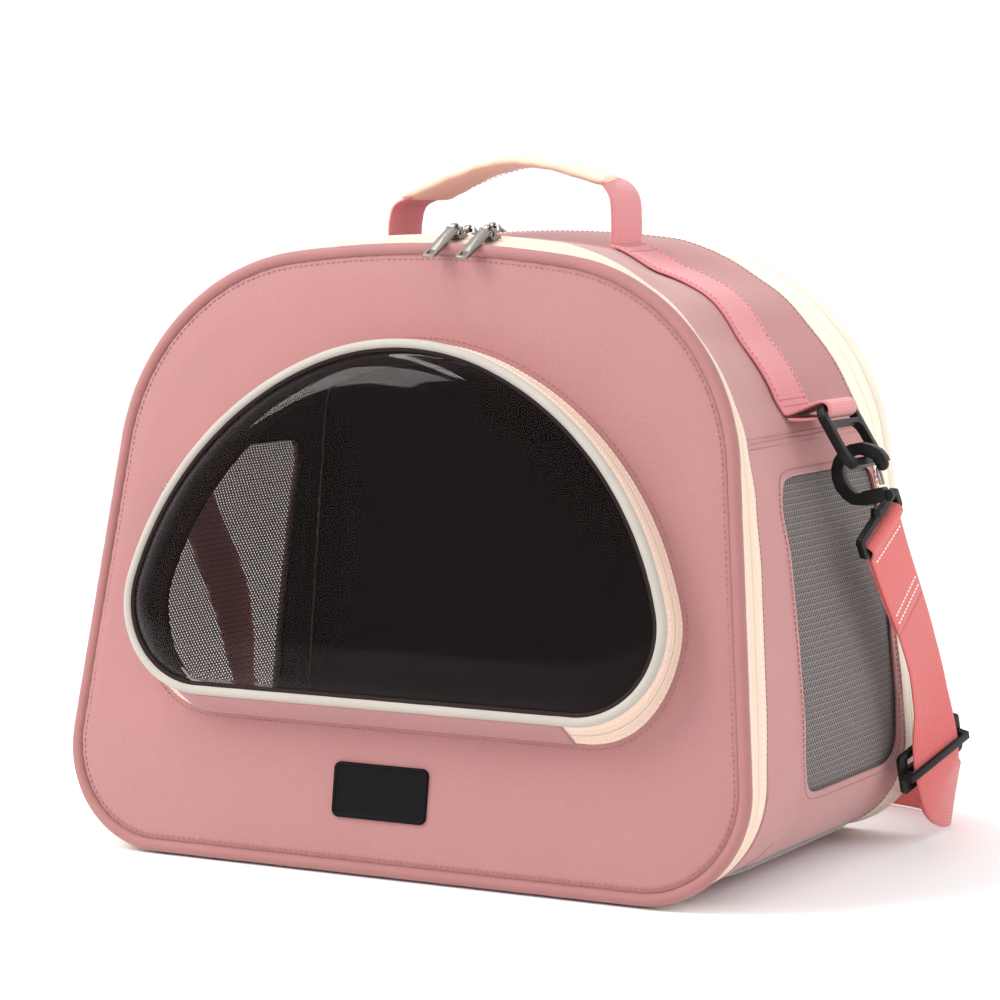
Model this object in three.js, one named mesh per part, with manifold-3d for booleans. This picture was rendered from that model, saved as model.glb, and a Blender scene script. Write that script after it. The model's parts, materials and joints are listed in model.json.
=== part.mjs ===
// Soft-sided pet carrier bag: an arched fabric tunnel between two faces that unzip and fold
// down, a bubble window that unzips from the front face, a top handle and a shoulder strap.
// Millimetres, +Z up, +X to the right seen from the front, front face towards -Y.
// The origin is the middle of the flat underside.
import * as THREE from "three";
import { mergeVertices } from "three/addons/utils/BufferGeometryUtils.js";
import Module from "manifold-3d";

const wasm = await Module();
wasm.setup();

// ---------------------------------------------------------------- driving dimensions

const DEGREE = Math.PI / 180;
const GAP = 0.3; // left between pieces that touch
const LIFT = 1.2; // the piping rings clear the floor by this much

// The outline of both faces, measured up the slope of the face.
const FACE = {
  height: 337.4, crownRadius: 613.3, crownAngle: 7.85 * DEGREE,
  shoulderRadius: 120.1, taper: 6.36 * DEGREE, cornerRadius: 58.6,
};
const FLOOR_DEPTH = 257.8; // front face to rear face at the floor
const FRONT_LEAN = 7.56 * DEGREE; // each face leans inwards towards the top
const REAR_LEAN = 4.34 * DEGREE;

// The outline of the bubble window, in the front face.
const WINDOW = {
  height: 200.9, crownRadius: 142.7, crownAngle: 22.35 * DEGREE,
  shoulderRadius: 181.6, taper: 15.6 * DEGREE, cornerRadius: 50,
};
const WINDOW_SILL = 83; // height of the window's bottom edge up the face
const WINDOW_WALL = 18; // how far the window's zip wall stands off the face
const STRIP_SPAN = [-128, 108]; // the hinge strip along the window's bottom edge

// Layers of the tunnel wall, as depths below the face outline.
const WALL_TOP = 2.2;
const SHELL = [WALL_TOP, WALL_TOP + 1.5];
const MESH = [SHELL[1] + GAP, SHELL[1] + GAP + 0.8];
const BOARD = [SHELL[1] + GAP, SHELL[1] + GAP + 1.7];
const LINING = [BOARD[1] + GAP, BOARD[1] + GAP + 0.8];

const PIPING_RADIUS = 3.4;
const TAPE_START = PIPING_RADIUS + 2.5 * GAP; // from the ring plane into the tunnel
const TAPE_SPLIT = 12;
const TAPE_END = 21;
const SEAM_HEIGHT = 236; // where the arch panel meets the side panels

const WEBBING = { width: 38, thick: 1.4, middle: 15 };
const HANDLE_HALF_SPAN = 68;
const RING_BAR = { x: 192, z: 249 };

const PINK = 0xd4a0a0;
const ROSE = 0xe48a92;
const CREAM = 0xfde8d6;
const BLACK = 0x141212;

// ---------------------------------------------------------------- materials and nodes

const bag = new THREE.Group();

function finish(color, roughness, metalness = 0) {
  return new THREE.MeshStandardMaterial({ color, roughness, metalness });
}

const FINISH = {
  fabric: finish(PINK, 0.9),
  webbing: finish(ROSE, 0.85),
  piping: finish(0xcd8282, 0.8),
  cream: finish(CREAM, 0.8),
  trim: finish(0xc8c0b6, 0.7),
  lining: finish(0x3a3030, 0.95),
  mesh: finish(0x7d736f, 0.9),
  board: finish(0xe8e4dc, 0.7),
  mat: finish(0x8a8684, 0.95),
  nickel: finish(0x8c8880, 0.35, 1),
  plastic: finish(BLACK, 0.45),
  clear: finish(0xdfe6ea, 0.05),
};

function node(name, material, geometry, parent = bag) {
  const mesh = new THREE.Mesh(geometry, material);
  mesh.name = name;
  parent.add(mesh);
  return mesh;
}

// Everything modelled flat against a face lives in that face's own group: local X across,
// local Z up the slope, local -Y (front) or +Y (rear) outwards.
const frontFace = new THREE.Group();
frontFace.position.set(0, -FLOOR_DEPTH / 2, LIFT);
frontFace.rotation.x = -FRONT_LEAN;
const rearFace = new THREE.Group();
rearFace.position.set(0, FLOOR_DEPTH / 2, LIFT);
rearFace.rotation.x = REAR_LEAN;
bag.add(frontFace, rearFace);
bag.updateMatrixWorld(true);

// ---------------------------------------------------------------- solids

function solidFrom(positions, triangles) {
  const geometry = new THREE.BufferGeometry();
  geometry.setAttribute("position", new THREE.Float32BufferAttribute(positions, 3));
  geometry.setIndex(triangles);
  geometry.computeVertexNormals();
  return geometry;
}

function toManifold(geometry) {
  const bare = geometry.clone();
  bare.deleteAttribute("normal");
  bare.deleteAttribute("uv");
  const merged = mergeVertices(bare, 1e-4);
  return new wasm.Manifold(new wasm.Mesh({
    numProp: 3,
    vertProperties: new Float32Array(merged.attributes.position.array),
    triVerts: new Uint32Array(merged.index.array),
  }));
}

function fromManifold(manifold) {
  const mesh = manifold.getMesh();
  return solidFrom(Array.from(mesh.vertProperties), Array.from(mesh.triVerts));
}

function cut(geometry, ...tools) {
  return fromManifold(tools.reduce((left, tool) => left.subtract(toManifold(tool)), toManifold(geometry)));
}

function common(first, second) {
  return fromManifold(toManifold(first).intersect(toManifold(second)));
}

function join(...geometries) {
  return fromManifold(geometries.map(toManifold).reduce((sum, next) => sum.add(next)));
}

// A closed shell from a grid of points: rows of rings. Each ring is a closed loop of points
// round the section; with closedRows the last ring joins the first, otherwise both ends cap.
// Quads from place turnedFrom on are split along their other diagonal, so that both sides of
// a layer, and the layers above and below it, are split alike.
function sweptSolid(rings, closedRows = false, turnedFrom = Infinity) {
  const count = rings[0].length;
  const positions = rings.flat().flatMap((point) => [point.x, point.y, point.z]);
  const triangles = [];
  const rows = closedRows ? rings.length : rings.length - 1;
  for (let row = 0; row < rows; row += 1) {
    const next = (row + 1) % rings.length;
    for (let k = 0; k < count; k += 1) {
      const a = row * count + k;
      const b = row * count + ((k + 1) % count);
      const c = next * count + k;
      const d = next * count + ((k + 1) % count);
      if (k < turnedFrom) triangles.push(a, b, d, a, d, c);
      else triangles.push(a, b, c, b, d, c);
    }
  }
  if (!closedRows) {
    const last = (rings.length - 1) * count;
    const fan = THREE.ShapeUtils.triangulateShape(flatten(rings[0]), []);
    fan.forEach(([p, q, r]) => triangles.push(p, r, q));
    fan.forEach(([p, q, r]) => triangles.push(last + p, last + q, last + r));
  }
  return facingOut(solidFrom(positions, triangles));
}

// A ring of points as a 2-D outline, seen along its own normal.
function flatten(ring) {
  const normal = new THREE.Vector3();
  ring.forEach((point, k) => {
    normal.add(new THREE.Vector3().crossVectors(point, ring[(k + 1) % ring.length]));
  });
  normal.normalize();
  const across = ring[1].clone().sub(ring[0]).normalize();
  const up = new THREE.Vector3().crossVectors(normal, across);
  return ring.map((point) => new THREE.Vector2(point.dot(across), point.dot(up)));
}

function facingOut(geometry) {
  const position = geometry.attributes.position;
  const index = geometry.index;
  const corner = [new THREE.Vector3(), new THREE.Vector3(), new THREE.Vector3()];
  let volume = 0;
  for (let k = 0; k < index.count; k += 3) {
    corner.forEach((point, n) => point.fromBufferAttribute(position, index.getX(k + n)));
    volume += corner[0].dot(corner[1].clone().cross(corner[2]));
  }
  if (volume < 0) {
    for (let k = 0; k < index.count; k += 3) {
      const second = index.getX(k + 1);
      index.setX(k + 1, index.getX(k + 2));
      index.setX(k + 2, second);
    }
    geometry.computeVertexNormals();
  }
  return geometry;
}

// A flat shape drawn in X and Z, thick from y = near to y = far.
function slab(shape, near, far) {
  const geometry = new THREE.ExtrudeGeometry(shape, {
    depth: far - near, bevelEnabled: false, curveSegments: 4,
  });
  return geometry.rotateX(Math.PI / 2).translate(0, far, 0);
}

// The same, thick along X: the shape is drawn in Y and Z.
function slabAlongX(shape, near, far) {
  return slab(shape, -far, -near).rotateZ(Math.PI / 2);
}

function roundedRectangle(width, height, radius, x = 0, y = 0) {
  const [a, b] = [x - width / 2, y - height / 2];
  const shape = new THREE.Shape();
  shape.moveTo(a + radius, b);
  shape.lineTo(a + width - radius, b);
  shape.absarc(a + width - radius, b + radius, radius, -Math.PI / 2, 0);
  shape.lineTo(a + width, b + height - radius);
  shape.absarc(a + width - radius, b + height - radius, radius, 0, Math.PI / 2);
  shape.lineTo(a + radius, b + height);
  shape.absarc(a + radius, b + height - radius, radius, Math.PI / 2, Math.PI);
  shape.lineTo(a, b + radius);
  shape.absarc(a + radius, b + radius, radius, Math.PI, 1.5 * Math.PI);
  return shape;
}

// A strip of constant thickness along a line of 2-D points, as a closed shape.
function stripShape(points, thickness) {
  const side = (k) => {
    const before = points[Math.max(k - 1, 0)];
    const after = points[Math.min(k + 1, points.length - 1)];
    const along = after.clone().sub(before).normalize();
    return new THREE.Vector2(-along.y, along.x).multiplyScalar(thickness / 2);
  };
  const upper = points.map((point, k) => point.clone().add(side(k)));
  const lower = points.map((point, k) => point.clone().sub(side(k)));
  return new THREE.Shape([...upper, ...lower.reverse()]);
}

function smoothLine(points, divisions) {
  const flat = points.map(([x, z]) => new THREE.Vector2(x, z));
  return new THREE.SplineCurve(flat).getPoints(divisions);
}

// ---------------------------------------------------------------- the arch outline

// One closed arch outline, anticlockwise from the middle of the bottom edge. Each point has
// its position (x, s), its outward normal (nx, ns) and its share of the way round.
function archOutline(arch, steps) {
  const { height, crownRadius, crownAngle, shoulderRadius, taper, cornerRadius } = arch;
  const half = [];
  const arc = (cx, cs, radius, from, to, count) => {
    for (let k = 0; k <= count; k += 1) {
      const angle = from + ((to - from) * k) / count;
      const [nx, ns] = [Math.sin(angle), Math.cos(angle)];
      half.push({ x: cx + radius * nx, s: cs + radius * ns, nx, ns });
    }
  };
  const line = (from, to, normal, count) => {
    for (let k = 1; k < count; k += 1) {
      half.push({
        x: from.x + ((to.x - from.x) * k) / count,
        s: from.s + ((to.s - from.s) * k) / count,
        nx: normal.nx, ns: normal.ns,
      });
    }
  };
  const sideAngle = Math.PI / 2 - taper;
  const crown = { x: 0, s: height - crownRadius };
  const shoulder = {
    x: (crownRadius - shoulderRadius) * Math.sin(crownAngle),
    s: crown.s + (crownRadius - shoulderRadius) * Math.cos(crownAngle),
  };
  arc(crown.x, crown.s, crownRadius, 0, crownAngle, steps.crown);
  half.pop();
  arc(shoulder.x, shoulder.s, shoulderRadius, crownAngle, sideAngle, steps.shoulder);
  const sideTop = half[half.length - 1];
  const [nx, ns] = [Math.sin(sideAngle), Math.cos(sideAngle)];
  const cornerX = sideTop.x + (-cornerRadius - (cornerRadius - sideTop.s) * ns) / nx;
  const sideFoot = { x: cornerX + cornerRadius * nx, s: cornerRadius + cornerRadius * ns };
  line(sideTop, sideFoot, { nx, ns }, steps.side);
  arc(cornerX, cornerRadius, cornerRadius, sideAngle, Math.PI, steps.corner);
  line({ x: cornerX, s: 0 }, { x: 0, s: 0 }, { nx: 0, ns: -1 }, steps.base);
  half.push({ x: 0, s: 0, nx: 0, ns: -1 });
  const right = half.slice().reverse();
  const left = half.slice(1, -1).map((p) => ({ ...p, x: -p.x, nx: -p.nx }));
  return [...right, ...left];
}

function insetShape(outline, inset, rise = 0) {
  return new THREE.Shape(outline.map((p) => new THREE.Vector2(p.x - p.nx * inset, p.s - p.ns * inset + rise)));
}

const faceOutline = archOutline(FACE, { crown: 3, shoulder: 7, side: 5, corner: 5, base: 1 });
const windowOutline = archOutline(WINDOW, { crown: 3, shoulder: 5, side: 1, corner: 4, base: 1 });

// ---------------------------------------------------------------- the tunnel wall

// How far the wall stands out (+) or is drawn in (-) midway between the faces, by height at
// the sides: full over the window meshes, drawn in at the shoulders, flat under the handle.
const WALL_SWELL = [[0, 0], [55, 0], [100, 4], [170, 4], [205, 0], [236, -8], [262, -13], [292, -14], [318, -7]];
const CROWN_SWELL = 2;
const ZIP_RIDGE = 5; // the arch rises to this height beside the zips

function smooth(share) {
  const t = Math.min(Math.max(share, 0), 1);
  return t * t * (3 - 2 * t);
}

function swellAt(x, s) {
  const overTop = 1 - smooth((Math.abs(x) - 66) / 34);
  if (s > FACE.height / 2 && overTop > 0.999) return CROWN_SWELL;
  let swell = WALL_SWELL[WALL_SWELL.length - 1][1];
  for (let k = 1; k < WALL_SWELL.length; k += 1) {
    const [from, to] = [WALL_SWELL[k - 1], WALL_SWELL[k]];
    if (s < to[0]) {
      swell = from[1] + (to[1] - from[1]) * smooth((s - from[0]) / (to[0] - from[0]));
      break;
    }
  }
  return s > FACE.height / 2 ? swell + (CROWN_SWELL - swell) * overTop : swell;
}

// A point of the wall: outline point p, world depth y, depth below the outline surface.
function wallPoint(p, along, inset) {
  const frontY = -FLOOR_DEPTH / 2 + p.s * Math.sin(FRONT_LEAN);
  const rearY = FLOOR_DEPTH / 2 - p.s * Math.sin(REAR_LEAN);
  const y = along.from === "rear" ? rearY - along.mm : along.from === "front" ? frontY + along.mm : along.mm;
  const share = (y - frontY) / (rearY - frontY);
  const belly = Math.pow(Math.max(Math.sin(Math.PI * share), 0), 0.8);
  const nearZip = Math.min(y - frontY, rearY - y) / TAPE_END;
  const onCrown = p.s > FACE.height / 2 ? 1 - smooth((Math.abs(p.x) - 88) / 40) : 0;
  const ridge = ZIP_RIDGE * onCrown * smooth(nearZip) * (1 - smooth((nearZip - 1.2) / 3));
  const out = swellAt(p.x, p.s) * belly + ridge - inset;
  const slope = Math.cos(FRONT_LEAN) + (Math.cos(REAR_LEAN) - Math.cos(FRONT_LEAN)) * share;
  return new THREE.Vector3(p.x + p.nx * out, y, LIFT + (p.s + p.ns * out) * slope);
}

// A stretch of wall: outline points as rows, depth stops across, between two insets.
function wallPanel(points, stops, [outer, inner], closedRows = false) {
  const rings = points.map((p) => [
    ...stops.map((stop) => wallPoint(p, stop, outer)),
    ...stops.slice().reverse().map((stop) => wallPoint(p, stop, inner)),
  ]);
  return sweptSolid(rings, closedRows, stops.length);
}

const fromFront = (mm) => ({ from: "front", mm });
const fromRear = (mm) => ({ from: "rear", mm });
const atDepth = (mm) => ({ from: "middle", mm });

// Stops across the tunnel, edge distances measured from the two faces.
const PANEL_EDGE = TAPE_END + GAP;
const TUNNEL_STOPS = [
  fromFront(PANEL_EDGE), fromFront(PANEL_EDGE + 14), atDepth(-38), atDepth(0), atDepth(38),
  fromRear(PANEL_EDGE + 14), fromRear(PANEL_EDGE),
];

const onSide = (sign) => (p) => Math.sign(p.x) === sign;

// An outline point at height s on the side (1 right, -1 left), interpolated.
function sidePoint(sign, s) {
  const right = faceOutline.filter((p) => p.x > 0 && p.nx > -0.01);
  const k = right.findIndex((p) => p.s > s && p.x > 100);
  const [a, b] = [right[k - 1], right[k]];
  const t = (s - a.s) / (b.s - a.s);
  const mix = (key) => a[key] + (b[key] - a[key]) * t;
  return { x: sign * mix("x"), s, nx: sign * mix("nx"), ns: mix("ns") };
}

// An outline point on the crown's arc, x to the right of the middle.
function crownPoint(x) {
  const angle = Math.asin(x / FACE.crownRadius);
  const s = FACE.height - FACE.crownRadius * (1 - Math.cos(angle));
  return { x, s, nx: Math.sin(angle), ns: Math.cos(angle) };
}

// ---------------------------------------------------------------- root: base, sides and arch

const BASE = { fabric: [0, 2.9], board: [3.3, 6], lining: [6.4, 7.2], mat: [7.6, 20] };
const BASE_HALF_WIDTH = 141;
const BASE_FLAP = 9; // the outer base panel laps under the foot of each side
const MESH_HEM = 8; // how far the netting runs behind the edge of its opening
const MESH_WINDOW = { width: 136, height: 166, radius: 16, middleY: 21.5, middleZ: 132 };

function buildBase() {
  const length = FLOOR_DEPTH - 2 * (PIPING_RADIUS + 2);
  const layer = (halfWidth, [low, high], depth) => new THREE.BoxGeometry(2 * halfWidth, depth, high - low)
    .translate(0, 0, (low + high) / 2);
  node("base_panel", FINISH.fabric, layer(BASE_HALF_WIDTH + BASE_FLAP, BASE.fabric, length));
  node("base_board", FINISH.board, layer(BASE_HALF_WIDTH, BASE.board, length - 12));
  node("base_lining", FINISH.lining, layer(BASE_HALF_WIDTH, BASE.lining, length - 12));
  const [low, high] = BASE.mat;
  const cornerX = faceOutline.filter((p) => p.s < GAP).reduce((most, p) => Math.max(most, p.x), 0);
  const cornerZ = LIFT + FACE.cornerRadius;
  const radius = FACE.cornerRadius - LINING[1] - 3;
  const top = -Math.asin((cornerZ - high + 1) / radius);
  const section = new THREE.Shape();
  section.moveTo(-BASE_HALF_WIDTH, low);
  section.lineTo(BASE_HALF_WIDTH, low);
  section.absarc(cornerX, cornerZ, radius, -Math.PI / 2, top);
  section.lineTo(cornerX + radius * Math.cos(top) - 1, high);
  section.lineTo(-cornerX - radius * Math.cos(top) + 1, high);
  section.absarc(-cornerX, cornerZ, radius, Math.PI - top, 1.5 * Math.PI);
  node("floor_mat", FINISH.mat, slab(section, -108, 108));
}

// The outline of a side window, or of its netting when grown by the sewn hem.
function meshWindow(grown) {
  const { width, height, radius, middleY, middleZ } = MESH_WINDOW;
  return roundedRectangle(width + 2 * grown, height + 2 * grown, radius, middleY, middleZ);
}

function buildSides() {
  [["right", 1], ["left", -1]].forEach(([side, sign]) => {
    const foot = faceOutline.filter((p) => onSide(sign)(p) && Math.abs(p.x) > BASE_HALF_WIDTH + 3 && p.s < SEAM_HEIGHT);
    const rows = sign > 0 ? [...foot, sidePoint(1, SEAM_HEIGHT)] : [sidePoint(-1, SEAM_HEIGHT), ...foot];
    const reach = [150, 240].map((x) => x * sign).sort((a, b) => a - b);
    const panel = wallPanel(rows, TUNNEL_STOPS, SHELL);
    node(`side_panel_${side}`, FINISH.fabric, cut(panel, slabAlongX(meshWindow(0), ...reach)));
    const netting = wallPanel(rows, TUNNEL_STOPS, MESH);
    node(`side_mesh_${side}`, FINISH.mesh, common(netting, slabAlongX(meshWindow(MESH_HEM), ...reach)));
  });
}

function buildArch() {
  const above = faceOutline.filter((p) => p.s > SEAM_HEIGHT + 1);
  const rows = [sidePoint(1, SEAM_HEIGHT + GAP), ...above, sidePoint(-1, SEAM_HEIGHT + GAP)];
  node("top_panel", FINISH.fabric, wallPanel(rows, TUNNEL_STOPS, SHELL));
  const flat = faceOutline.filter((p) => p.s > FACE.height / 2 && Math.abs(p.x) < 66);
  node("top_board", FINISH.board, wallPanel(flat, TUNNEL_STOPS.slice(1, -1), BOARD));
  const inside = faceOutline.filter((p) => Math.abs(p.x) > BASE_HALF_WIDTH + 3 || p.s > FACE.height / 2);
  const lining = wallPanel(inside, TUNNEL_STOPS, LINING);
  node("inner_lining", FINISH.lining, cut(lining, slabAlongX(meshWindow(0), -240, 240)));
}

// ---------------------------------------------------------------- zips round the two faces

const TAPE = [WALL_TOP - 0.4, WALL_TOP + 0.8];
const ZIP_FOOT = 150; // the zips stop at this far from the middle, low on the corners

function buildFaceZip(which, from) {
  const rows = faceOutline.filter((p) => Math.abs(p.x) > ZIP_FOOT || p.s > FACE.height / 2);
  const strip = (near, far) => wallPanel(rows, [from(near), from(far)], TAPE);
  node(`${which}_zip_tape_door`, FINISH.cream, strip(TAPE_START, TAPE_SPLIT - GAP));
  node(`${which}_zip_tape_body`, FINISH.cream, strip(TAPE_SPLIT + GAP, TAPE_END));
}

function pipingRing(outline, inset, radius, y, rise = 0) {
  const sides = 6;
  const rings = outline.map((p) => Array.from({ length: sides }, (_, k) => {
    const angle = (2 * Math.PI * k) / sides;
    const out = radius * Math.cos(angle) - inset;
    return new THREE.Vector3(p.x + p.nx * out, y + radius * Math.sin(angle), p.s + rise + p.ns * out);
  }));
  return sweptSolid(rings, true);
}

// ---------------------------------------------------------------- the two doors

// Layers of each door, outwards negative, in the front face's local Y.
const DOOR = { fabric: [-1.5, -0.3], board: [0, 2.2], lining: [2.5, 3.5] };
const DOOR_INSET = 2 * PIPING_RADIUS + GAP;

function buildDoorLayers(which, face, outwards, opening) {
  const layer = (inset, [near, far], holeInset) => {
    const shape = insetShape(faceOutline, inset);
    if (opening) shape.holes.push(insetShape(opening, holeInset, WINDOW_SILL));
    return outwards < 0 ? slab(shape, near, far) : slab(shape, -far, -near);
  };
  node(`${which}_panel`, FINISH.fabric, layer(DOOR_INSET, DOOR.fabric, 8), face);
  node(`${which}_board`, FINISH.board, layer(DOOR_INSET + 1.5, DOOR.board, 9.5), face);
  node(`${which}_lining`, FINISH.lining, layer(DOOR_INSET + 1.5, DOOR.lining, 9.5), face);
  node(`${which}_piping`, FINISH.piping, pipingRing(faceOutline, PIPING_RADIUS, PIPING_RADIUS, 0), face);
}

// ---------------------------------------------------------------- the bubble window

const WINDOW_PIPING = 3.2;
const BUBBLE = { edge: 2 * WINDOW_PIPING + 0.6, thick: 1, rise: 10 };
const PIPING_Y = DOOR.fabric[0] - WINDOW_WALL - WINDOW_PIPING - GAP;

function windowWall(points, near, far) {
  const rings = points.map((p) => [[0.2, near], [0.2, far], [1.4, far], [1.4, near]].map(([inset, y]) => (
    new THREE.Vector3(p.x - p.nx * inset, y, p.s - p.ns * inset + WINDOW_SILL)
  )));
  return sweptSolid(rings);
}

// The clear sheet: curls up from its sewn edge, then stays nearly flat to the middle.
function bubble() {
  const levels = [[0, 0], [4, 0.42], [10, 0.72], [20, 0.9], [34, 0.97], [44, 1]];
  const middle = new THREE.Vector3(0, 0, WINDOW_SILL + 0.42 * WINDOW.height);
  const sheet = (thickness) => levels.map(([inset, rise]) => windowOutline.map((p) => new THREE.Vector3(
    p.x - p.nx * (BUBBLE.edge + inset),
    PIPING_Y - BUBBLE.rise * rise + thickness,
    p.s - p.ns * (BUBBLE.edge + inset) + WINDOW_SILL,
  )));
  const [outer, inner] = [sheet(0), sheet(BUBBLE.thick)];
  const count = windowOutline.length;
  const rings = [...outer.slice().reverse(), ...inner];
  const positions = rings.flat().flatMap((point) => [point.x, point.y, point.z]);
  const triangles = [];
  for (let row = 0; row < rings.length - 1; row += 1) {
    for (let k = 0; k < count; k += 1) {
      const next = (k + 1) % count;
      const [a, b] = [row * count + k, row * count + next];
      triangles.push(a, b, b + count, a, b + count, a + count);
    }
  }
  const top = positions.length / 3;
  positions.push(middle.x, PIPING_Y - BUBBLE.rise, middle.z, middle.x, PIPING_Y - BUBBLE.rise + BUBBLE.thick, middle.z);
  const last = (rings.length - 1) * count;
  for (let k = 0; k < count; k += 1) {
    const next = (k + 1) % count;
    triangles.push(top, next, k, top + 1, last + k, last + next);
  }
  return facingOut(solidFrom(positions, triangles));
}

function buildWindow() {
  const [leftEnd, rightEnd] = STRIP_SPAN;
  const raised = (p) => p.s > 1 || p.x > rightEnd || p.x < leftEnd;
  const ends = [{ x: rightEnd, s: 0, nx: 0, ns: -1 }, { x: leftEnd, s: 0, nx: 0, ns: -1 }];
  const order = windowOutline.filter(raised);
  const start = order.findIndex((p) => p.x > 0);
  const around = [...order.slice(start), ...order.slice(0, start)];
  const wall = [...(around[0].x > rightEnd + 1 ? [ends[0]] : []), ...around];
  const base = DOOR.fabric[0] - GAP;
  node("window_zip_tape_door", FINISH.cream, windowWall(wall, base, base - WINDOW_WALL / 2), frontFace);
  node("window_zip_tape_lid", FINISH.cream, windowWall(wall, base - WINDOW_WALL / 2 - GAP, base - WINDOW_WALL + GAP), frontFace);
  const strip = [leftEnd + GAP, 0, rightEnd - GAP].map((x) => ({ x, s: 0, nx: 0, ns: -1 }));
  node("window_hinge_strip", FINISH.fabric, windowWall(strip, base - 0.7, base - WINDOW_WALL + GAP), frontFace);
  node("window_piping", FINISH.trim, pipingRing(windowOutline, WINDOW_PIPING, WINDOW_PIPING, PIPING_Y, WINDOW_SILL), frontFace);
  node("window_pane", FINISH.clear, bubble(), frontFace);
}

function buildLabel() {
  const patch = roundedRectangle(57, 29.5, 4, -6, 44.3);
  node("label_patch", FINISH.plastic, slab(patch, DOOR.fabric[0] - GAP - 1.8, DOOR.fabric[0] - GAP), frontFace);
}

// ---------------------------------------------------------------- zip sliders and pulls

const SLIDER = { length: 11, width: 9, plate: 2, bridge: 3.4 };
const PULL = { length: 31, width: 7.5, thick: 1.4, knuckle: { inner: 1.5, outer: 2.5, length: 3 } };

// Slider on the plane z = 0, its bridge bar running along X.
function sliderGeometry() {
  const { length, width, plate, bridge } = SLIDER;
  const body = new THREE.BoxGeometry(length, width, plate).translate(0, 0, plate / 2);
  const post = (x) => new THREE.BoxGeometry(1.6, 2.2, bridge).translate(x, 0, plate + bridge / 2 - 0.1);
  const bar = new THREE.BoxGeometry(length - 1.4, 1.6, 1.4).translate(0, 0, plate + bridge);
  return join(body, post(-length / 2 + 1.5), post(length / 2 - 1.5), bar);
}

// Pull hanging towards -Y from the bar, its knuckle round the bar; a slot near the far end.
function pullGeometry() {
  const { length, width, thick, knuckle } = PULL;
  const shape = roundedRectangle(width, length, 2, 0, -length / 2 - knuckle.inner);
  shape.holes.push(roundedRectangle(width - 3.6, 4.4, 1, 0, -length + 2.6));
  const plate = new THREE.ExtrudeGeometry(shape, { depth: thick, bevelEnabled: false, curveSegments: 2 })
    .translate(0, 0, -thick / 2);
  const eye = new THREE.Shape().absarc(0, 0, knuckle.outer, 0, 2 * Math.PI);
  eye.holes.push(new THREE.Path().absarc(0, 0, knuckle.inner, 0, 2 * Math.PI));
  const loop = new THREE.ExtrudeGeometry(eye, { depth: knuckle.length, bevelEnabled: false, curveSegments: 5 })
    .translate(0, 0, -knuckle.length / 2)
    .rotateY(Math.PI / 2);
  return join(plate, loop);
}

// Sliders beside the crown of a face: their places, as angles about the crown's centre.
const FACE_SLIDERS = { front: [0.75, 2.6], rear: [-6.6, -5.1] };
const SLIDER_RISE = { front: 4.2, rear: 3.6 }; // above the face outline, clear of the zip tape
const TAPE_SLOPE = 17 * DEGREE; // the zip tape climbs from the piping to the arch
const PULL_DROP = { front: 18 * DEGREE, rear: 8 * DEGREE };

function buildFaceSliders(which, face, sign) {
  FACE_SLIDERS[which].forEach((angle, k) => {
    const side = k === 0 ? "left" : "right";
    const carrier = new THREE.Group();
    carrier.position.set(0, sign * TAPE_SPLIT, FACE.height - FACE.crownRadius);
    carrier.rotation.y = angle * DEGREE;
    const seat = new THREE.Group();
    seat.position.set(0, 0, FACE.crownRadius + SLIDER_RISE[which]);
    seat.rotation.set(sign * TAPE_SLOPE, 0, sign < 0 ? Math.PI : 0);
    carrier.add(seat);
    face.add(carrier);
    node(`${which}_zip_slider_${side}`, FINISH.nickel, sliderGeometry(), seat);
    const hinge = new THREE.Group();
    hinge.position.set(0, 0, SLIDER.plate + SLIDER.bridge);
    hinge.rotation.x = PULL_DROP[which];
    seat.add(hinge);
    node(`${which}_zip_pull_${side}`, FINISH.nickel, pullGeometry(), hinge);
  });
}

function buildWindowSlider() {
  const angle = (90 - 30) * DEGREE; // low on the left side of the window, round its shoulder arc
  const centreX = (WINDOW.crownRadius - WINDOW.shoulderRadius) * Math.sin(WINDOW.crownAngle);
  const centreS = WINDOW.height - WINDOW.crownRadius
    + (WINDOW.crownRadius - WINDOW.shoulderRadius) * Math.cos(WINDOW.crownAngle);
  const carrier = new THREE.Group();
  carrier.position.set(-centreX, DOOR.fabric[0] - GAP - WINDOW_WALL / 2, centreS + WINDOW_SILL);
  carrier.rotation.y = -angle;
  frontFace.add(carrier);
  const seat = new THREE.Group();
  seat.position.set(0, 0, WINDOW.shoulderRadius + 0.2);
  seat.rotation.z = -Math.PI / 2; // the pull hangs down along the tape
  carrier.add(seat);
  node("window_zip_slider", FINISH.nickel, sliderGeometry(), seat);
  const hinge = new THREE.Group();
  hinge.position.set(0, 0, SLIDER.plate + SLIDER.bridge);
  hinge.rotation.x = 12 * DEGREE;
  seat.add(hinge);
  node("window_zip_pull", FINISH.nickel, pullGeometry(), hinge);
}

// ---------------------------------------------------------------- webbing and handle

const [WEB_FRONT, WEB_REAR] = [WEBBING.middle - WEBBING.width / 2, WEBBING.middle + WEBBING.width / 2];
const WEB_LIFT = WALL_TOP - 0.8; // the webbing's underside, clear of the wall
const HANDLE_PIVOT_Z = 347;
const HANDLE_SWING = 35 * DEGREE;
const SLEEVE_ENDS = [-58, 60];

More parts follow.
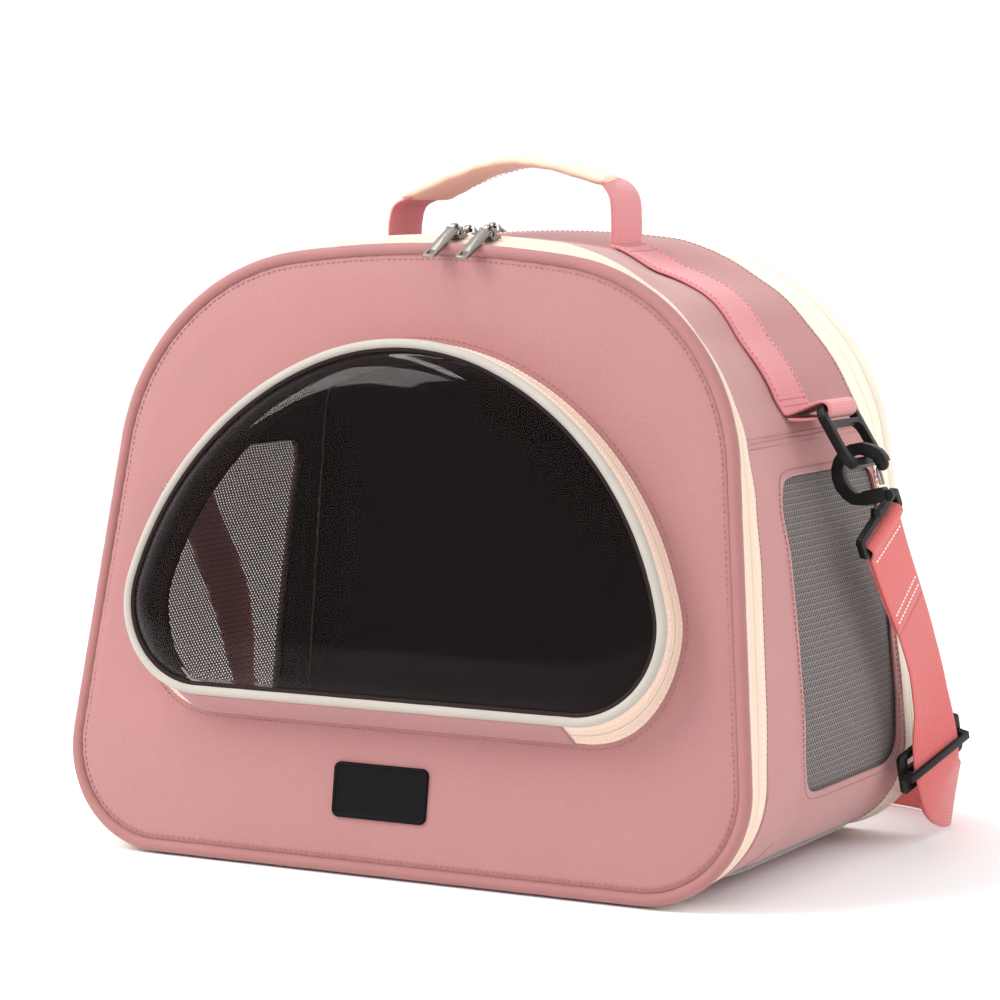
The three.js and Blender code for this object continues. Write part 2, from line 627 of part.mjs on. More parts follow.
// The webbing lies on the arch from the handle down to the ring, wraps the ring's bar and
// is sewn back to the wall.
function buildWebbing(side, sign) {
  const seamRow = sidePoint(1, SEAM_HEIGHT + 14);
  const rows = [seamRow, ...faceOutline.filter((p) => p.x > HANDLE_HALF_SPAN + 8 && p.s > seamRow.s)];
  rows.push(crownPoint(HANDLE_HALF_SPAN + 1.4));
  const band = wallPanel(rows, [WEB_FRONT, 0, WEB_REAR].map(atDepth), [WEB_LIFT - WEBBING.thick, WEB_LIFT]);
  const start = wallPoint(seamRow, atDepth(WEBBING.middle), WEB_LIFT - WEBBING.thick / 2);
  const grip = 4.45;
  const wrap = [110, 60, 20, -20, -60, -95].map((angle) => new THREE.Vector2(
    RING_BAR.x + grip * Math.cos(angle * DEGREE), RING_BAR.z + grip * Math.sin(angle * DEGREE),
  ));
  const foot = wallPoint(sidePoint(1, SEAM_HEIGHT + 2), atDepth(WEBBING.middle), WEB_LIFT - 3);
  const loop = [new THREE.Vector2(start.x, start.z + 1), ...wrap, new THREE.Vector2(foot.x + 2, foot.z + 1),
    new THREE.Vector2(foot.x + 1, foot.z - 9)];
  const geometry = join(band, slab(stripShape(loop, WEBBING.thick), WEB_FRONT, WEB_REAR));
  node(`webbing_${side}`, FINISH.webbing, sign > 0 ? geometry : mirrored(geometry));
}

function mirrored(geometry) {
  const flipped = geometry.clone().scale(-1, 1, 1);
  return facingOut(flipped.index ? flipped : indexed(flipped));
}

function indexed(geometry) {
  const bare = geometry.clone();
  bare.deleteAttribute("normal");
  bare.deleteAttribute("uv");
  return mergeVertices(bare, 1e-4);
}

const HANDLE_LINE = [
  [-71, 337.4], [-70.5, 346], [-67.5, 355], [-56, 360.5], [-39, 368.5], [-16, 377], [4, 380.6],
  [30, 378], [50, 372.2], [61, 368], [66.5, 361], [68, 350], [68, 337.4],
];

function buildHandle() {
  const line = smoothLine(HANDLE_LINE, 40);
  const strap = slab(stripShape(line, WEBBING.thick), WEB_FRONT, WEB_REAR);
  const trimmer = (turn) => new THREE.BoxGeometry(300, 120, 60)
    .translate(0, 0, -30 - (HANDLE_PIVOT_Z - 337.6))
    .rotateX(turn)
    .translate(0, WEBBING.middle, HANDLE_PIVOT_Z);
  node("handle_webbing", FINISH.webbing, cut(strap, trimmer(HANDLE_SWING), trimmer(-HANDLE_SWING)));
  const covered = line.filter((point) => point.x > SLEEVE_ENDS[0] && point.x < SLEEVE_ENDS[1] && point.y > 356);
  const outer = slab(stripShape(covered, 9), WEB_FRONT - 2, WEB_REAR + 2);
  const core = slab(stripShape(line, WEBBING.thick + 2 * GAP), WEB_FRONT - GAP, WEB_REAR + GAP);
  node("handle_sleeve", FINISH.cream, cut(outer, core));
}

// ---------------------------------------------------------------- rings, hooks and strap

const RING = { wire: 4.6, inner: 39.4, length: 33, slot: 5.4, lean: 32 * DEGREE };

function buildRing(side, sign) {
  const { wire, inner, length, slot } = RING;
  const outerWidth = inner + 2 * wire;
  const shape = roundedRectangle(outerWidth, length + wire, 9, 0, -length / 2);
  shape.holes.push(roundedRectangle(inner, slot, 1, 0, -wire / 2 - slot / 2));
  const low = length - 1.5 * wire - slot - 0.6;
  shape.holes.push(roundedRectangle(inner, low, 6, 0, -length + wire / 2 + low / 2));
  const geometry = new THREE.ExtrudeGeometry(shape, { depth: wire, bevelEnabled: false, curveSegments: 4 })
    .translate(0, 0, -wire / 2)
    .rotateX(Math.PI / 2)
    .rotateZ(Math.PI / 2)
    .rotateY(-RING.lean)
    .translate(RING_BAR.x, WEBBING.middle, RING_BAR.z);
  node(`ring_${side}`, FINISH.plastic, sign > 0 ? geometry : mirrored(geometry));
}

const HOOK = { lean: -14 * DEGREE, thick: 6.4, stroke: 6.6 };
const HOOK_LINE = [
  [0.5, 11.5], [-8, 13], [-13.6, 21], [-13.8, 30], [-8, 37.2], [1.5, 38.4], [9.6, 33.6], [11.6, 28.4],
];
const HOOK_ORIGIN = new THREE.Vector3(215.5, WEBBING.middle, 190.5);
const GATE = { wire: 1.5, spread: 2.2, foot: [8.6, 13.6], tip: [8.2, 26.6] };

function hookPlace(geometry) {
  return geometry.rotateY(HOOK.lean).translate(HOOK_ORIGIN.x, HOOK_ORIGIN.y, HOOK_ORIGIN.z);
}

function buildHook(side, sign) {
  const claw = slab(stripShape(smoothLine(HOOK_LINE, 14), HOOK.stroke), -HOOK.thick / 2, HOOK.thick / 2);
  const foot = slab(roundedRectangle(13, 8, 2, 3.5, 12), -HOOK.thick / 2 - 0.8, HOOK.thick / 2 + 0.8);
  const lug = slab(roundedRectangle(6, 6, 2, 10.5, 11), -1.2, 1.2);
  const body = hookPlace(join(claw, foot, lug));
  node(`hook_${side}`, FINISH.plastic, sign > 0 ? body : mirrored(body));
  const [footX, footZ] = GATE.foot;
  const [tipX, tipZ] = GATE.tip;
  const path = new THREE.CatmullRomCurve3([
    [footX, -GATE.spread, footZ + 3.6], [tipX, -GATE.spread, tipZ - 3], [tipX, -GATE.spread * 0.6, tipZ],
    [tipX, GATE.spread * 0.6, tipZ], [tipX, GATE.spread, tipZ - 3], [footX, GATE.spread, footZ + 3.6],
  ].map(([x, y, z]) => new THREE.Vector3(x, y, z)));
  const round = new THREE.Shape().absarc(0, 0, GATE.wire / 2, 0, 2 * Math.PI);
  const wire = new THREE.ExtrudeGeometry(round, { extrudePath: path, steps: 10, bevelEnabled: false, curveSegments: 3 });
  const gate = hookPlace(indexed(wire));
  node(`hook_gate_${side}`, FINISH.nickel, sign > 0 ? gate : mirrored(gate));
}

// The shoulder strap's centre line and the direction of its width, on the right side.
const STRAP_LINE = [
  { at: [217.5, 21, 184], across: [0.12, 0.82, 0.56] },
  { at: [219, 38, 160], across: [0.08, 0.84, 0.54] },
  { at: [220.5, 56, 137], across: [0.04, 0.85, 0.53] },
  { at: [222, 73, 111], across: [0.04, 0.85, 0.53] },
  { at: [223.4, 84, 84], across: [0.12, 0.72, 0.68] },
  { at: [224, 93, 53], across: [0.28, 0.4, 0.87] },
  { at: [222.5, 107, 34], across: [0.3, 0.28, 0.91] },
  { at: [219, 130, 25], across: [0.2, 0.16, 0.97] },
  { at: [213, 155, 21.5], across: [0.1, 0.12, 0.99] },
  { at: [200, 182, 20.5], across: [0.05, 0.05, 1] },
  { at: [172, 204, 20.3], across: [0, 0.03, 1] },
  { at: [120, 217, 20.2], across: [0, 0.02, 1] },
  { at: [60, 222, 20.1], across: [0, 0.02, 1] },
  { at: [0, 223, 20], across: [0, 0.02, 1] },
];

const STRAP_THICK = 1.4;
const SEWN_STOPS = 3; // the sewn end lies along this many of the line's points
const EYE_DROP = 12; // from the swivel down to the eye's strap bar
const EYE_WIRE = 3.6;
const EYE_POST = 4.6; // the stub that turns in the foot of the hook
const FOLD = { inner: 3.2, outer: 4.6 }; // the strap's sewn fold round the eye's bar

// The strap as frames: a place, the direction of its width and its outward face normal.
function strapFrames(stops, perStop, sign = 1) {
  const points = stops.map(({ at }) => new THREE.Vector3(...at));
  const widths = stops.map(({ across }) => new THREE.Vector3(...across));
  const line = new THREE.CatmullRomCurve3(points, false, "centripetal");
  const count = (stops.length - 1) * perStop;
  return Array.from({ length: count + 1 }, (_, k) => {
    const t = k / count;
    const stop = Math.min(Math.floor(t * (stops.length - 1)), stops.length - 2);
    const place = line.getPoint(t);
    const along = line.getTangent(t);
    const across = widths[stop].clone().lerp(widths[stop + 1], t * (stops.length - 1) - stop);
    across.addScaledVector(along, -across.dot(along)).normalize();
    const normal = new THREE.Vector3().crossVectors(across, along).normalize();
    return { place, across, normal: normal.multiplyScalar(sign) };
  });
}

// A ribbon along strap frames, between two distances along the normal.
function ribbon(frames, low, high, width = WEBBING.width) {
  const corners = [[-1, low], [1, low], [1, high], [-1, high]];
  const rings = frames.map(({ place, across, normal }) => corners.map(([side, rise]) => place.clone()
    .addScaledVector(across, (side * width) / 2)
    .addScaledVector(normal, rise)));
  return sweptSolid(rings, false, 2);
}

const mirrorStop = ({ at: [x, y, z], across: [a, b, c] }) => ({ at: [-x, y, z], across: [-a, b, c] });

// The swivel eye: a flat frame below the hook with a bar across that the strap folds round.
function buildEye(side, sign) {
  const [first] = strapFrames(STRAP_LINE, 1);
  const down = new THREE.Vector3().crossVectors(first.normal, first.across).normalize();
  if (down.z > 0) down.negate();
  const up = down.clone().negate();
  const face = new THREE.Vector3().crossVectors(first.across, up);
  const swivel = first.place.clone().addScaledVector(up, EYE_DROP);
  const place = new THREE.Matrix4().makeBasis(first.across, up, face).setPosition(swivel);
  const height = EYE_DROP + EYE_WIRE / 2;
  const shape = roundedRectangle(WEBBING.width + 9, height, 3, 0, -height / 2);
  const opening = EYE_DROP - 1.5 * EYE_WIRE;
  shape.holes.push(roundedRectangle(WEBBING.width + 1.4, opening, 0.5, 0, -EYE_WIRE - opening / 2));
  const frame = new THREE.ExtrudeGeometry(shape, { depth: EYE_WIRE, bevelEnabled: false, curveSegments: 2 })
    .translate(0, 0, -EYE_WIRE / 2)
    .applyMatrix4(place);
  const post = new THREE.CylinderGeometry(3, 3, EYE_POST, 10)
    .rotateX(Math.PI / 2)
    .translate(swivel.x, swivel.y, swivel.z - EYE_WIRE / 2 + EYE_POST / 2);
  const eye = join(frame, post);
  node(`hook_eye_${side}`, FINISH.plastic, sign > 0 ? eye : mirrored(eye));
}

// A round tube across the strap, centred on a frame.
function crossTube({ place, across }, radius, length) {
  const turn = new THREE.Quaternion().setFromUnitVectors(new THREE.Vector3(0, 1, 0), across);
  return new THREE.CylinderGeometry(radius, radius, length, 12)
    .applyMatrix4(new THREE.Matrix4().compose(place, turn, new THREE.Vector3(1, 1, 1)));
}

const PER_STOP = 4;
const SLIDER_STOP = 5; // the strap's length adjuster sits on this stop of the line
const ADJUSTER = { length: 53, width: 25, bar: 4.5, thick: 2.4 };

// The adjuster: a three-bar slide, one frame outside the strap and a bar behind it.
function buildAdjuster(frame) {
  const { length, width, bar, thick } = ADJUSTER;
  const shape = roundedRectangle(length, width, 3);
  const slot = (width - 3 * bar) / 2;
  [-1, 1].forEach((side) => shape.holes.push(
    roundedRectangle(WEBBING.width + 2, slot, 1, 0, (side * (bar + slot)) / 2),
  ));
  const plate = new THREE.ExtrudeGeometry(shape, { depth: thick, bevelEnabled: false, curveSegments: 2 })
    .translate(0, 0, STRAP_THICK + 1.2);
  const leg = (side) => new THREE.BoxGeometry(4, bar, 8).translate(side * (length / 2 - 3), 0, 0.6);
  const behind = new THREE.BoxGeometry(length - 2, bar, 1.6).translate(0, 0, -STRAP_THICK - 2);
  const down = new THREE.Vector3().crossVectors(frame.normal, frame.across);
  const place = new THREE.Matrix4().makeBasis(frame.across, down, frame.normal).setPosition(frame.place);
  node("strap_adjuster", FINISH.plastic, join(plate, leg(-1), leg(1), behind).applyMatrix4(place));
}

function buildStrap() {
  const all = [...STRAP_LINE, ...STRAP_LINE.slice(0, -1).reverse().map(mirrorStop)];
  const frames = strapFrames(all, PER_STOP);
  const sewn = (SEWN_STOPS - 1) * PER_STOP;
  const layers = { under: [-STRAP_THICK - GAP / 2, -GAP / 2], over: [GAP / 2, STRAP_THICK + GAP / 2] };
  const [first] = frames;
  const end = join(
    ribbon(frames.slice(0, sewn + 1), layers.under[0], layers.over[1]),
    crossTube(first, FOLD.outer, WEBBING.width),
  );
  const folded = cut(end, crossTube(first, FOLD.inner, WEBBING.width + 10));
  node("strap_end_right", FINISH.webbing, folded);
  node("strap_end_left", FINISH.webbing, mirrored(folded));
  const run = frames.slice(sewn, -sewn);
  const shorten = (list) => {
    const [head, second] = list;
    const [tail, before] = [list[list.length - 1], list[list.length - 2]];
    return [{ ...head, place: head.place.clone().lerp(second.place, 0.08) }, ...list.slice(1, -1),
      { ...tail, place: tail.place.clone().lerp(before.place, 0.08) }];
  };
  node("strap_run", FINISH.webbing, ribbon(shorten(run), ...layers.under));
  const after = SLIDER_STOP * PER_STOP + 3 - sewn;
  node("strap_return", FINISH.webbing, ribbon(shorten(run.slice(after)), ...layers.over));
  buildAdjuster(frames[SLIDER_STOP * PER_STOP]);
}

buildBase();
buildSides();
buildArch();
buildFaceZip("front", fromFront);
buildFaceZip("rear", fromRear);
buildDoorLayers("front", frontFace, -1, windowOutline);
buildDoorLayers("rear", rearFace, 1, null);
buildLabel();
buildWindow();
buildFaceSliders("front", frontFace, 1);
buildFaceSliders("rear", rearFace, -1);
buildWindowSlider();
[["right", 1], ["left", -1]].forEach(([side, sign]) => {
  buildWebbing(side, sign);
  buildRing(side, sign);
  buildHook(side, sign);
  buildEye(side, sign);
});
buildHandle();
buildStrap();

export default bag;
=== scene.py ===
"""Looks for the soft pet carrier bag: cloth, webbing, zips, netting, clear window and clips,
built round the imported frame. Lengths are in millimetres until a mesh is made."""
import json
import math

import bmesh
import bpy
import numpy as np
from mathutils import Matrix, Vector, noise

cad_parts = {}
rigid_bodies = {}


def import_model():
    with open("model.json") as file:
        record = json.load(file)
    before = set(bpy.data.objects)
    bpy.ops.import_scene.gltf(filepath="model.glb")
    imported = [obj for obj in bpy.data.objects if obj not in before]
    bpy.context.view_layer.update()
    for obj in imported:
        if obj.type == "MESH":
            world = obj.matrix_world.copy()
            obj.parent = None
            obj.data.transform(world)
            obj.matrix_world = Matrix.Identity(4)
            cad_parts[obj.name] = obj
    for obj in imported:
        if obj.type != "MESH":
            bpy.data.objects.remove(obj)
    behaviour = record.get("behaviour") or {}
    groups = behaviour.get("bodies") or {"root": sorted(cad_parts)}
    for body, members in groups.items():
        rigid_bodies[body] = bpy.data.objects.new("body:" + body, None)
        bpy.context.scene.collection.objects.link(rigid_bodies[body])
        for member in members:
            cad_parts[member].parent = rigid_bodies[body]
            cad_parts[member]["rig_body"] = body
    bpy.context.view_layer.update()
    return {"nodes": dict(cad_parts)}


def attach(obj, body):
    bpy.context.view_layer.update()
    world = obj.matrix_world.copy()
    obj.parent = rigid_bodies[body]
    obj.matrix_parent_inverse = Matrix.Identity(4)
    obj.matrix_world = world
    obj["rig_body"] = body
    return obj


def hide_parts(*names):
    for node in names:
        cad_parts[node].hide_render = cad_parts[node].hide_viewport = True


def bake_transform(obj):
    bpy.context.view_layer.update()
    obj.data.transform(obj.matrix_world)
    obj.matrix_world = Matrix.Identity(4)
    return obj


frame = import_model()

MM = 0.001
GAP = 0.3
LIFT = 1.2
DEPTH = 257.8
FRONT_LEAN = math.radians(7.56)
REAR_LEAN = math.radians(4.34)

# An arch's outline: its crown, shoulder and corner are radii, its angles are in degrees.
FACE = {"height": 337.4, "crown": 613.3, "crown_angle": 7.85,
        "shoulder": 120.1, "taper": 6.36, "corner": 58.6}
WINDOW = {"height": 200.9, "crown": 142.7, "crown_angle": 22.35,
          "shoulder": 181.6, "taper": 15.6, "corner": 50.0}
WINDOW_SILL = 83.0
WINDOW_OUT = 23.0  # the window piping's centre, out from the face's seam plane
LID_RAISED = 5.5  # how much higher the lid's bottom edge is than the window's wall at the face
WALL_SPREAD = 9.5  # how far that wall spreads downwards at its foot
DOME = 10.0  # how far the pane stands out of its piping
STRIP_SPAN = (-128.0, 108.0)  # the hinge strip's ends, along the window's outline

WALL_TOP = 2.2  # the cloth's top, below the nominal wall
TAPE_SPLIT = 12.0  # where a zip's halves meet, behind the face's plane
TAPE_END = 21.0
LINING_DEPTH = 6.4
COVER = 1.4  # the shell cloth's thickness
COIL_PITCH = 1.6
PIPING_RADIUS = 3.4
TRIM_RADIUS = 2.7
PANEL_EDGE = TAPE_END + GAP
SEAM_HEIGHT = 236.0  # the seam between a side and the arch
# How far the tunnel bulges between the faces, at heights up the slope.
WALL_SWELL = [(0, 0), (55, 0), (100, 4), (170, 4), (205, 0), (236, -8), (262, -13), (292, -14), (318, -7)]
CROWN_SWELL = 2.0
ZIP_RIDGE = 5.0

WEB_WIDTH = 38.0
WEB_THICK = 1.4
WEB_MIDDLE = 15.0
RING_BAR = (192.0, 249.0)
NET = {"width": 136.0, "height": 166.0, "radius": 16.0, "y": 21.5, "z": 132.0}


def make_camera():
    """The view of the bag: from its front right, a little above the floor."""
    back = Vector((0.4585, -0.8842, 0.0892)).normalized()
    right = Vector((0, 0, 1)).cross(back).normalized()
    up = back.cross(right)
    roll = math.radians(0.40)
    turned_right = right * math.cos(roll) + up * math.sin(roll)
    turned_up = up * math.cos(roll) - right * math.sin(roll)
    data = bpy.data.cameras.new("camera")
    data.lens = 118.95
    data.sensor_width = 36.0
    data.clip_end = 60.0
    camera = bpy.data.objects.new("camera", data)
    turn = Matrix((turned_right, turned_up, back)).transposed().to_4x4()
    camera.matrix_world = Matrix.Translation((0.84455, -1.63104, 0.35629)) @ turn
    bpy.context.scene.collection.objects.link(camera)
    bpy.context.scene.camera = camera


make_camera()

SIDES = (("right", 1), ("left", -1))
FACES = (("front", False), ("rear", True))


# ---- outlines and the tunnel wall

def running(steps):
    """The running total of some steps, from 0."""
    return np.concatenate([[0], np.cumsum(steps)])


def smooth(share):
    """Eases from 0 to 1."""
    t = np.clip(share, 0.0, 1.0)
    return t * t * (3 - 2 * t)


class Outline:
    """A closed arch outline, anticlockwise from the middle of its bottom edge."""

    def __init__(self, spec):
        crown, shoulder, corner = spec["crown"], spec["shoulder"], spec["corner"]
        crown_angle = math.radians(spec["crown_angle"])
        side_angle = math.pi / 2 - math.radians(spec["taper"])

        def arc(x, s, radius, start, end):
            angle = np.linspace(start, end, 60)
            way = np.column_stack([np.sin(angle), np.cos(angle)])
            return np.hstack([[x, s] + radius * way, way])

        crown_s = spec["height"] - crown
        shoulder_x = (crown - shoulder) * math.sin(crown_angle)
        shoulder_s = crown_s + (crown - shoulder) * math.cos(crown_angle)
        over = arc(0, crown_s, crown, 0, crown_angle)
        side = arc(shoulder_x, shoulder_s, shoulder, crown_angle, side_angle)
        x, s, nx, ns = side[-1]
        corner_x = x - (corner + (corner - s) * ns) / nx
        foot = arc(corner_x, corner, corner, side_angle, math.pi)
        straight = side[-1] + (foot[0] - side[-1]) * np.linspace(0, 1, 40)[:, None]
        bottom = [0, 0, 0, -1] + np.linspace(1, 0, 30)[:, None] * [corner_x, 0, 0, 0]
        half = np.vstack([over, side, straight, foot, bottom])
        loop = np.vstack([half[::-1], half[1:] * [-1, 1, -1, 1]])
        steps = np.hypot(*np.diff(loop[:, :2], axis=0).T)
        self.loop = loop[np.concatenate([[True], steps > 1e-6])]
        self.length = running(steps[steps > 1e-6])
        self.total = self.length[-1]

    def at(self, length):
        """x, s and the outward normal nx, ns at lengths along the outline."""
        wrapped = np.mod(length, self.total)
        x, s, nx, ns = (np.interp(wrapped, self.length, self.loop[:, k]) for k in range(4))
        size = np.hypot(nx, ns)
        return x, s, nx / size, ns / size

    def even(self, step):
        """Lengths all round the outline, about a step apart."""
        return np.linspace(0, self.total, round(self.total / step), endpoint=False)

    def length_at(self, s):
        """Length along the outline to height s on its right side."""
        right = (self.loop[:, 0] > 1) & (self.length < self.total / 2)
        return float(np.interp(s, self.loop[right, 1], self.length[right]))

    def foot_length(self, x):
        """Length along the outline to that x on the right half of its bottom edge."""
        low = (self.loop[:, 1] < 40) & (self.length < self.total / 2)
        return float(np.interp(x, self.loop[low, 0], self.length[low]))

    def inset(self, amount, step=2.0):
        """x, s and the normal of the outline drawn that far inside this one."""
        x, s, nx, ns = self.at(self.even(step))
        return x - nx * amount, s - ns * amount, nx, ns


face_line = Outline(FACE)
LID = {**WINDOW, "height": WINDOW["height"] - LID_RAISED}
LID_SILL = WINDOW_SILL + LID_RAISED
lid_line = Outline(LID)
window_line = Outline(WINDOW)


def swell(x, s):
    """How far the wall bulges there, midway between the faces."""
    over_top = 1 - smooth((np.abs(x) - 66) / 34)
    value = np.full(np.shape(s), float(WALL_SWELL[-1][1]))
    for (s0, v0), (s1, v1) in reversed(list(zip(WALL_SWELL, WALL_SWELL[1:]))):
        value = np.where(s < s1, v0 + (v1 - v0) * smooth((s - s0) / (s1 - s0)), value)
    return np.where(s > FACE["height"] / 2, value + (CROWN_SWELL - value) * over_top, value)


def edges_at(length):
    """World y of the front and the rear face's plane where the outline is at that length."""
    s = face_line.at(length)[1]
    return -DEPTH / 2 + s * math.sin(FRONT_LEAN), DEPTH / 2 - s * math.sin(REAR_LEAN)


def wall(length, y, inset):
    """Points of the tunnel wall at lengths along the outline, depths y, that far below it."""
    length, y, inset = np.broadcast_arrays(length, y, inset)
    x, s, nx, ns = face_line.at(length)
    front, rear = edges_at(length)
    share = (y - front) / (rear - front)
    belly = np.maximum(np.sin(math.pi * np.clip(share, 0, 1)), 0) ** 0.8
    near = np.minimum(y - front, rear - y) / TAPE_END
    on_crown = np.where(s > FACE["height"] / 2, 1 - smooth((np.abs(x) - 88) / 40), 0)
    ridge = ZIP_RIDGE * on_crown * smooth(near) * (1 - smooth((near - 1.2) / 3))
    out = swell(x, s) * belly + ridge - inset
    slope = math.cos(FRONT_LEAN) + (math.cos(REAR_LEAN) - math.cos(FRONT_LEAN)) * share
    return np.stack([x + nx * out, y + 0 * x, LIFT + (s + ns * out) * slope], axis=-1)


def on_face(rear, x, out, s):
    """World points from a face's own plane: x across, out of the bag, s up the slope."""
    lean, way = (REAR_LEAN, 1) if rear else (FRONT_LEAN, -1)
    x, out, s = np.broadcast_arrays(x, out, s)
    y = way * (DEPTH / 2 + out * math.cos(lean) - s * math.sin(lean))
    return np.stack([x.astype(float), y, LIFT + out * math.sin(lean) + s * math.cos(lean)], axis=-1)


def face_way(rear, x, out, s):
    """A direction given in a face's own x, out and s."""
    return on_face(rear, x, out, s) - on_face(rear, 0, 0, 0)


def behind(rear, lengths, depths):
    """World y at depths behind a face's plane, for lengths along the outline."""
    front, back = edges_at(lengths)
    return back - depths if rear else front + depths


def noise_at(points, scale, seed=0.0):
    """Smooth noise, about -1 to 1, at an array of points."""
    flat = np.asarray(points, float).reshape(-1, 3) / scale + seed
    values = np.array([noise.noise(Vector(p)) for p in flat])
    return values.reshape(np.shape(points)[:-1])


# ---- mesh patches

def patch(points, u=None, v=None, wrap_rows=False, wrap_cols=False, caps=False, material=0):
    """A grid of points as quads, with texture coordinates in millimetres."""
    points = np.asarray(points, float)
    rows, cols = points.shape[:2]
    closed = points
    if wrap_cols:
        closed = np.concatenate([closed, closed[:, :1]], axis=1)
    if wrap_rows:
        closed = np.concatenate([closed, closed[:1]], axis=0)
    if u is None:
        u, v = (running(np.linalg.norm(np.diff(closed, axis=k), axis=-1).mean(axis=1 - k)) for k in (0, 1))
        u, v = np.meshgrid(u, v, indexing="ij")
    elif wrap_cols:
        u, v = (np.concatenate([a, a[:, :1]], axis=1) for a in (u, v))
    r, c = np.meshgrid(np.arange(closed.shape[0] - 1), np.arange(closed.shape[1] - 1), indexing="ij")
    r, c = r.ravel(), c.ravel()
    r2, c2 = (r + 1) % rows, (c + 1) % cols
    quads = np.stack([r * cols + c, r2 * cols + c, r2 * cols + c2, r * cols + c2], axis=-1)
    corners = [(r, c), (r + 1, c), (r + 1, c + 1), (r, c + 1)]
    uv = np.stack([np.stack([u[a, b], v[a, b]], axis=-1) for a, b in corners], axis=1)
    ends = [list(range(cols)), list(range((rows - 1) * cols, rows * cols))[::-1]] if caps else []
    return {"v": points.reshape(-1, 3), "q": quads, "uv": uv, "ends": ends, "m": material}


def make_piece(name, patches, looks, nodes=(), body=None, thick=0.0, closed=True):
    """One object from patches; thick makes open sheets solid, and closed ones face outwards."""
    verts, faces, uvs, kinds, base = [], [], [], [], 0
    for item in patches:
        verts.append(item["v"])
        faces += (item["q"] + base).tolist()
        uvs.append(item["uv"].reshape(-1, 2))
        kinds += [item["m"]] * (len(item["q"]) + len(item["ends"]))
        for end in item["ends"]:
            faces.append([k + base for k in end])
            uvs.append(np.zeros((len(end), 2)))
        base += len(item["v"])
    mesh = bpy.data.meshes.new(name)
    mesh.from_pydata((np.vstack(verts) * MM).tolist(), [], faces)
    layer = mesh.uv_layers.new(name="UVMap")
    layer.data.foreach_set("uv", np.vstack(uvs).ravel())
    for look in looks.split():
        mesh.materials.append(LOOKS[look])
    mesh.polygons.foreach_set("material_index", kinds)
    mesh.polygons.foreach_set("use_smooth", [True] * len(faces))
    mesh.update()
    piece = bpy.data.objects.new(name, mesh)
    bpy.context.scene.collection.objects.link(piece)
    if thick:
        solid = piece.modifiers.new("thickness", "SOLIDIFY")
        solid.thickness = thick * MM
        solid.offset = 0
        apply_modifiers(piece)
    elif closed:
        face_out(piece)
    return settle(piece, body, nodes)


def settle(piece, body, nodes):
    """Hides the CAD nodes the piece stands for and attaches the piece to the body it moves with: the given
    one or else the first node's, none when it blends.
    """
    if nodes:
        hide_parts(*nodes)
        body = body or frame["nodes"][nodes[0]]["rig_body"]
    if body != "blend":
        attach(piece, body)
    return piece


def face_out(piece):
    """Turns every closed part of the piece to face outwards."""
    work = bmesh.new()
    work.from_mesh(piece.data)
    bmesh.ops.recalc_face_normals(work, faces=work.faces)
    work.to_mesh(piece.data)
    work.free()


def apply_modifiers(piece):
    """Puts the modifiers' result into the piece's mesh."""
    graph = bpy.context.evaluated_depsgraph_get()
    made = bpy.data.meshes.new_from_object(piece.evaluated_get(graph))
    old = piece.data
    piece.modifiers.clear()
    piece.data = made
    bpy.data.meshes.remove(old)


def round_profile(rx, ry, count=14, power=2.0):
    """An oval section; a power above 2 squares it off."""
    angle = np.linspace(0, 2 * math.pi, count, endpoint=False)
    way = np.column_stack([np.cos(angle), np.sin(angle)])
    return [rx, ry] * np.sign(way) * np.abs(way) ** (2 / power)


def ribbon_profile(thick=WEB_THICK):
    """Webbing's section: flat, with rounded selvedges."""
    half, edge = WEB_WIDTH / 2, thick * 0.45
    reach = np.linspace(-half + edge, half - edge, 13)
    upper = np.column_stack([reach, np.full(13, thick / 2)])
    right = np.array([(half - edge * 0.3, thick * 0.36), (half, 0), (half - edge * 0.3, -thick * 0.36)])
    return np.vstack([upper, right, -upper, -right])


def unit(vectors):
    """The vectors at length 1."""
    vectors = np.asarray(vectors, float)
    return vectors / np.linalg.norm(vectors, axis=-1, keepdims=True)


def frames_along(points, side, closed=False):
    """The side and up directions of a section carried along a line of points."""
    points = np.asarray(points, float)
    if closed:
        tangent = unit(np.roll(points, -1, axis=0) - np.roll(points, 1, axis=0))
    else:
        tangent = unit(np.gradient(points, axis=0))
    side = np.broadcast_to(side, points.shape)
    side = unit(side - (side * tangent).sum(-1, keepdims=True) * tangent)
    return side, np.cross(tangent, side)


def sweep(points, side, profile, up=None, closed=False):
    """A section, or one section for each point, carried along a line of points."""
    points = np.asarray(points, float)
    if up is None:
        side, up = frames_along(points, side, closed)
    profile = np.broadcast_to(profile, (len(points),) + np.shape(profile)[-2:])
    side, up = np.broadcast_to(side, points.shape), np.broadcast_to(up, points.shape)
    rings = points[:, None] + profile[..., :1] * side[:, None] + profile[..., 1:] * up[:, None]
    return patch(rings, wrap_rows=closed, wrap_cols=True, caps=not closed)


def resample(points, step):
    """The line's points placed evenly, about a step apart."""
    points = np.asarray(points, float)
    length = running(np.linalg.norm(np.diff(points, axis=0), axis=1))
    at = np.linspace(0, length[-1], max(round(length[-1] / step), 2))
    return np.stack([np.interp(at, length, points[:, k]) for k in range(points.shape[1])], axis=-1)


def between(a, b, t, start, end):
    """From a at t = start to b at t = end, in a straight line."""
    return a + (b - a) * (t - start) / (end - start)


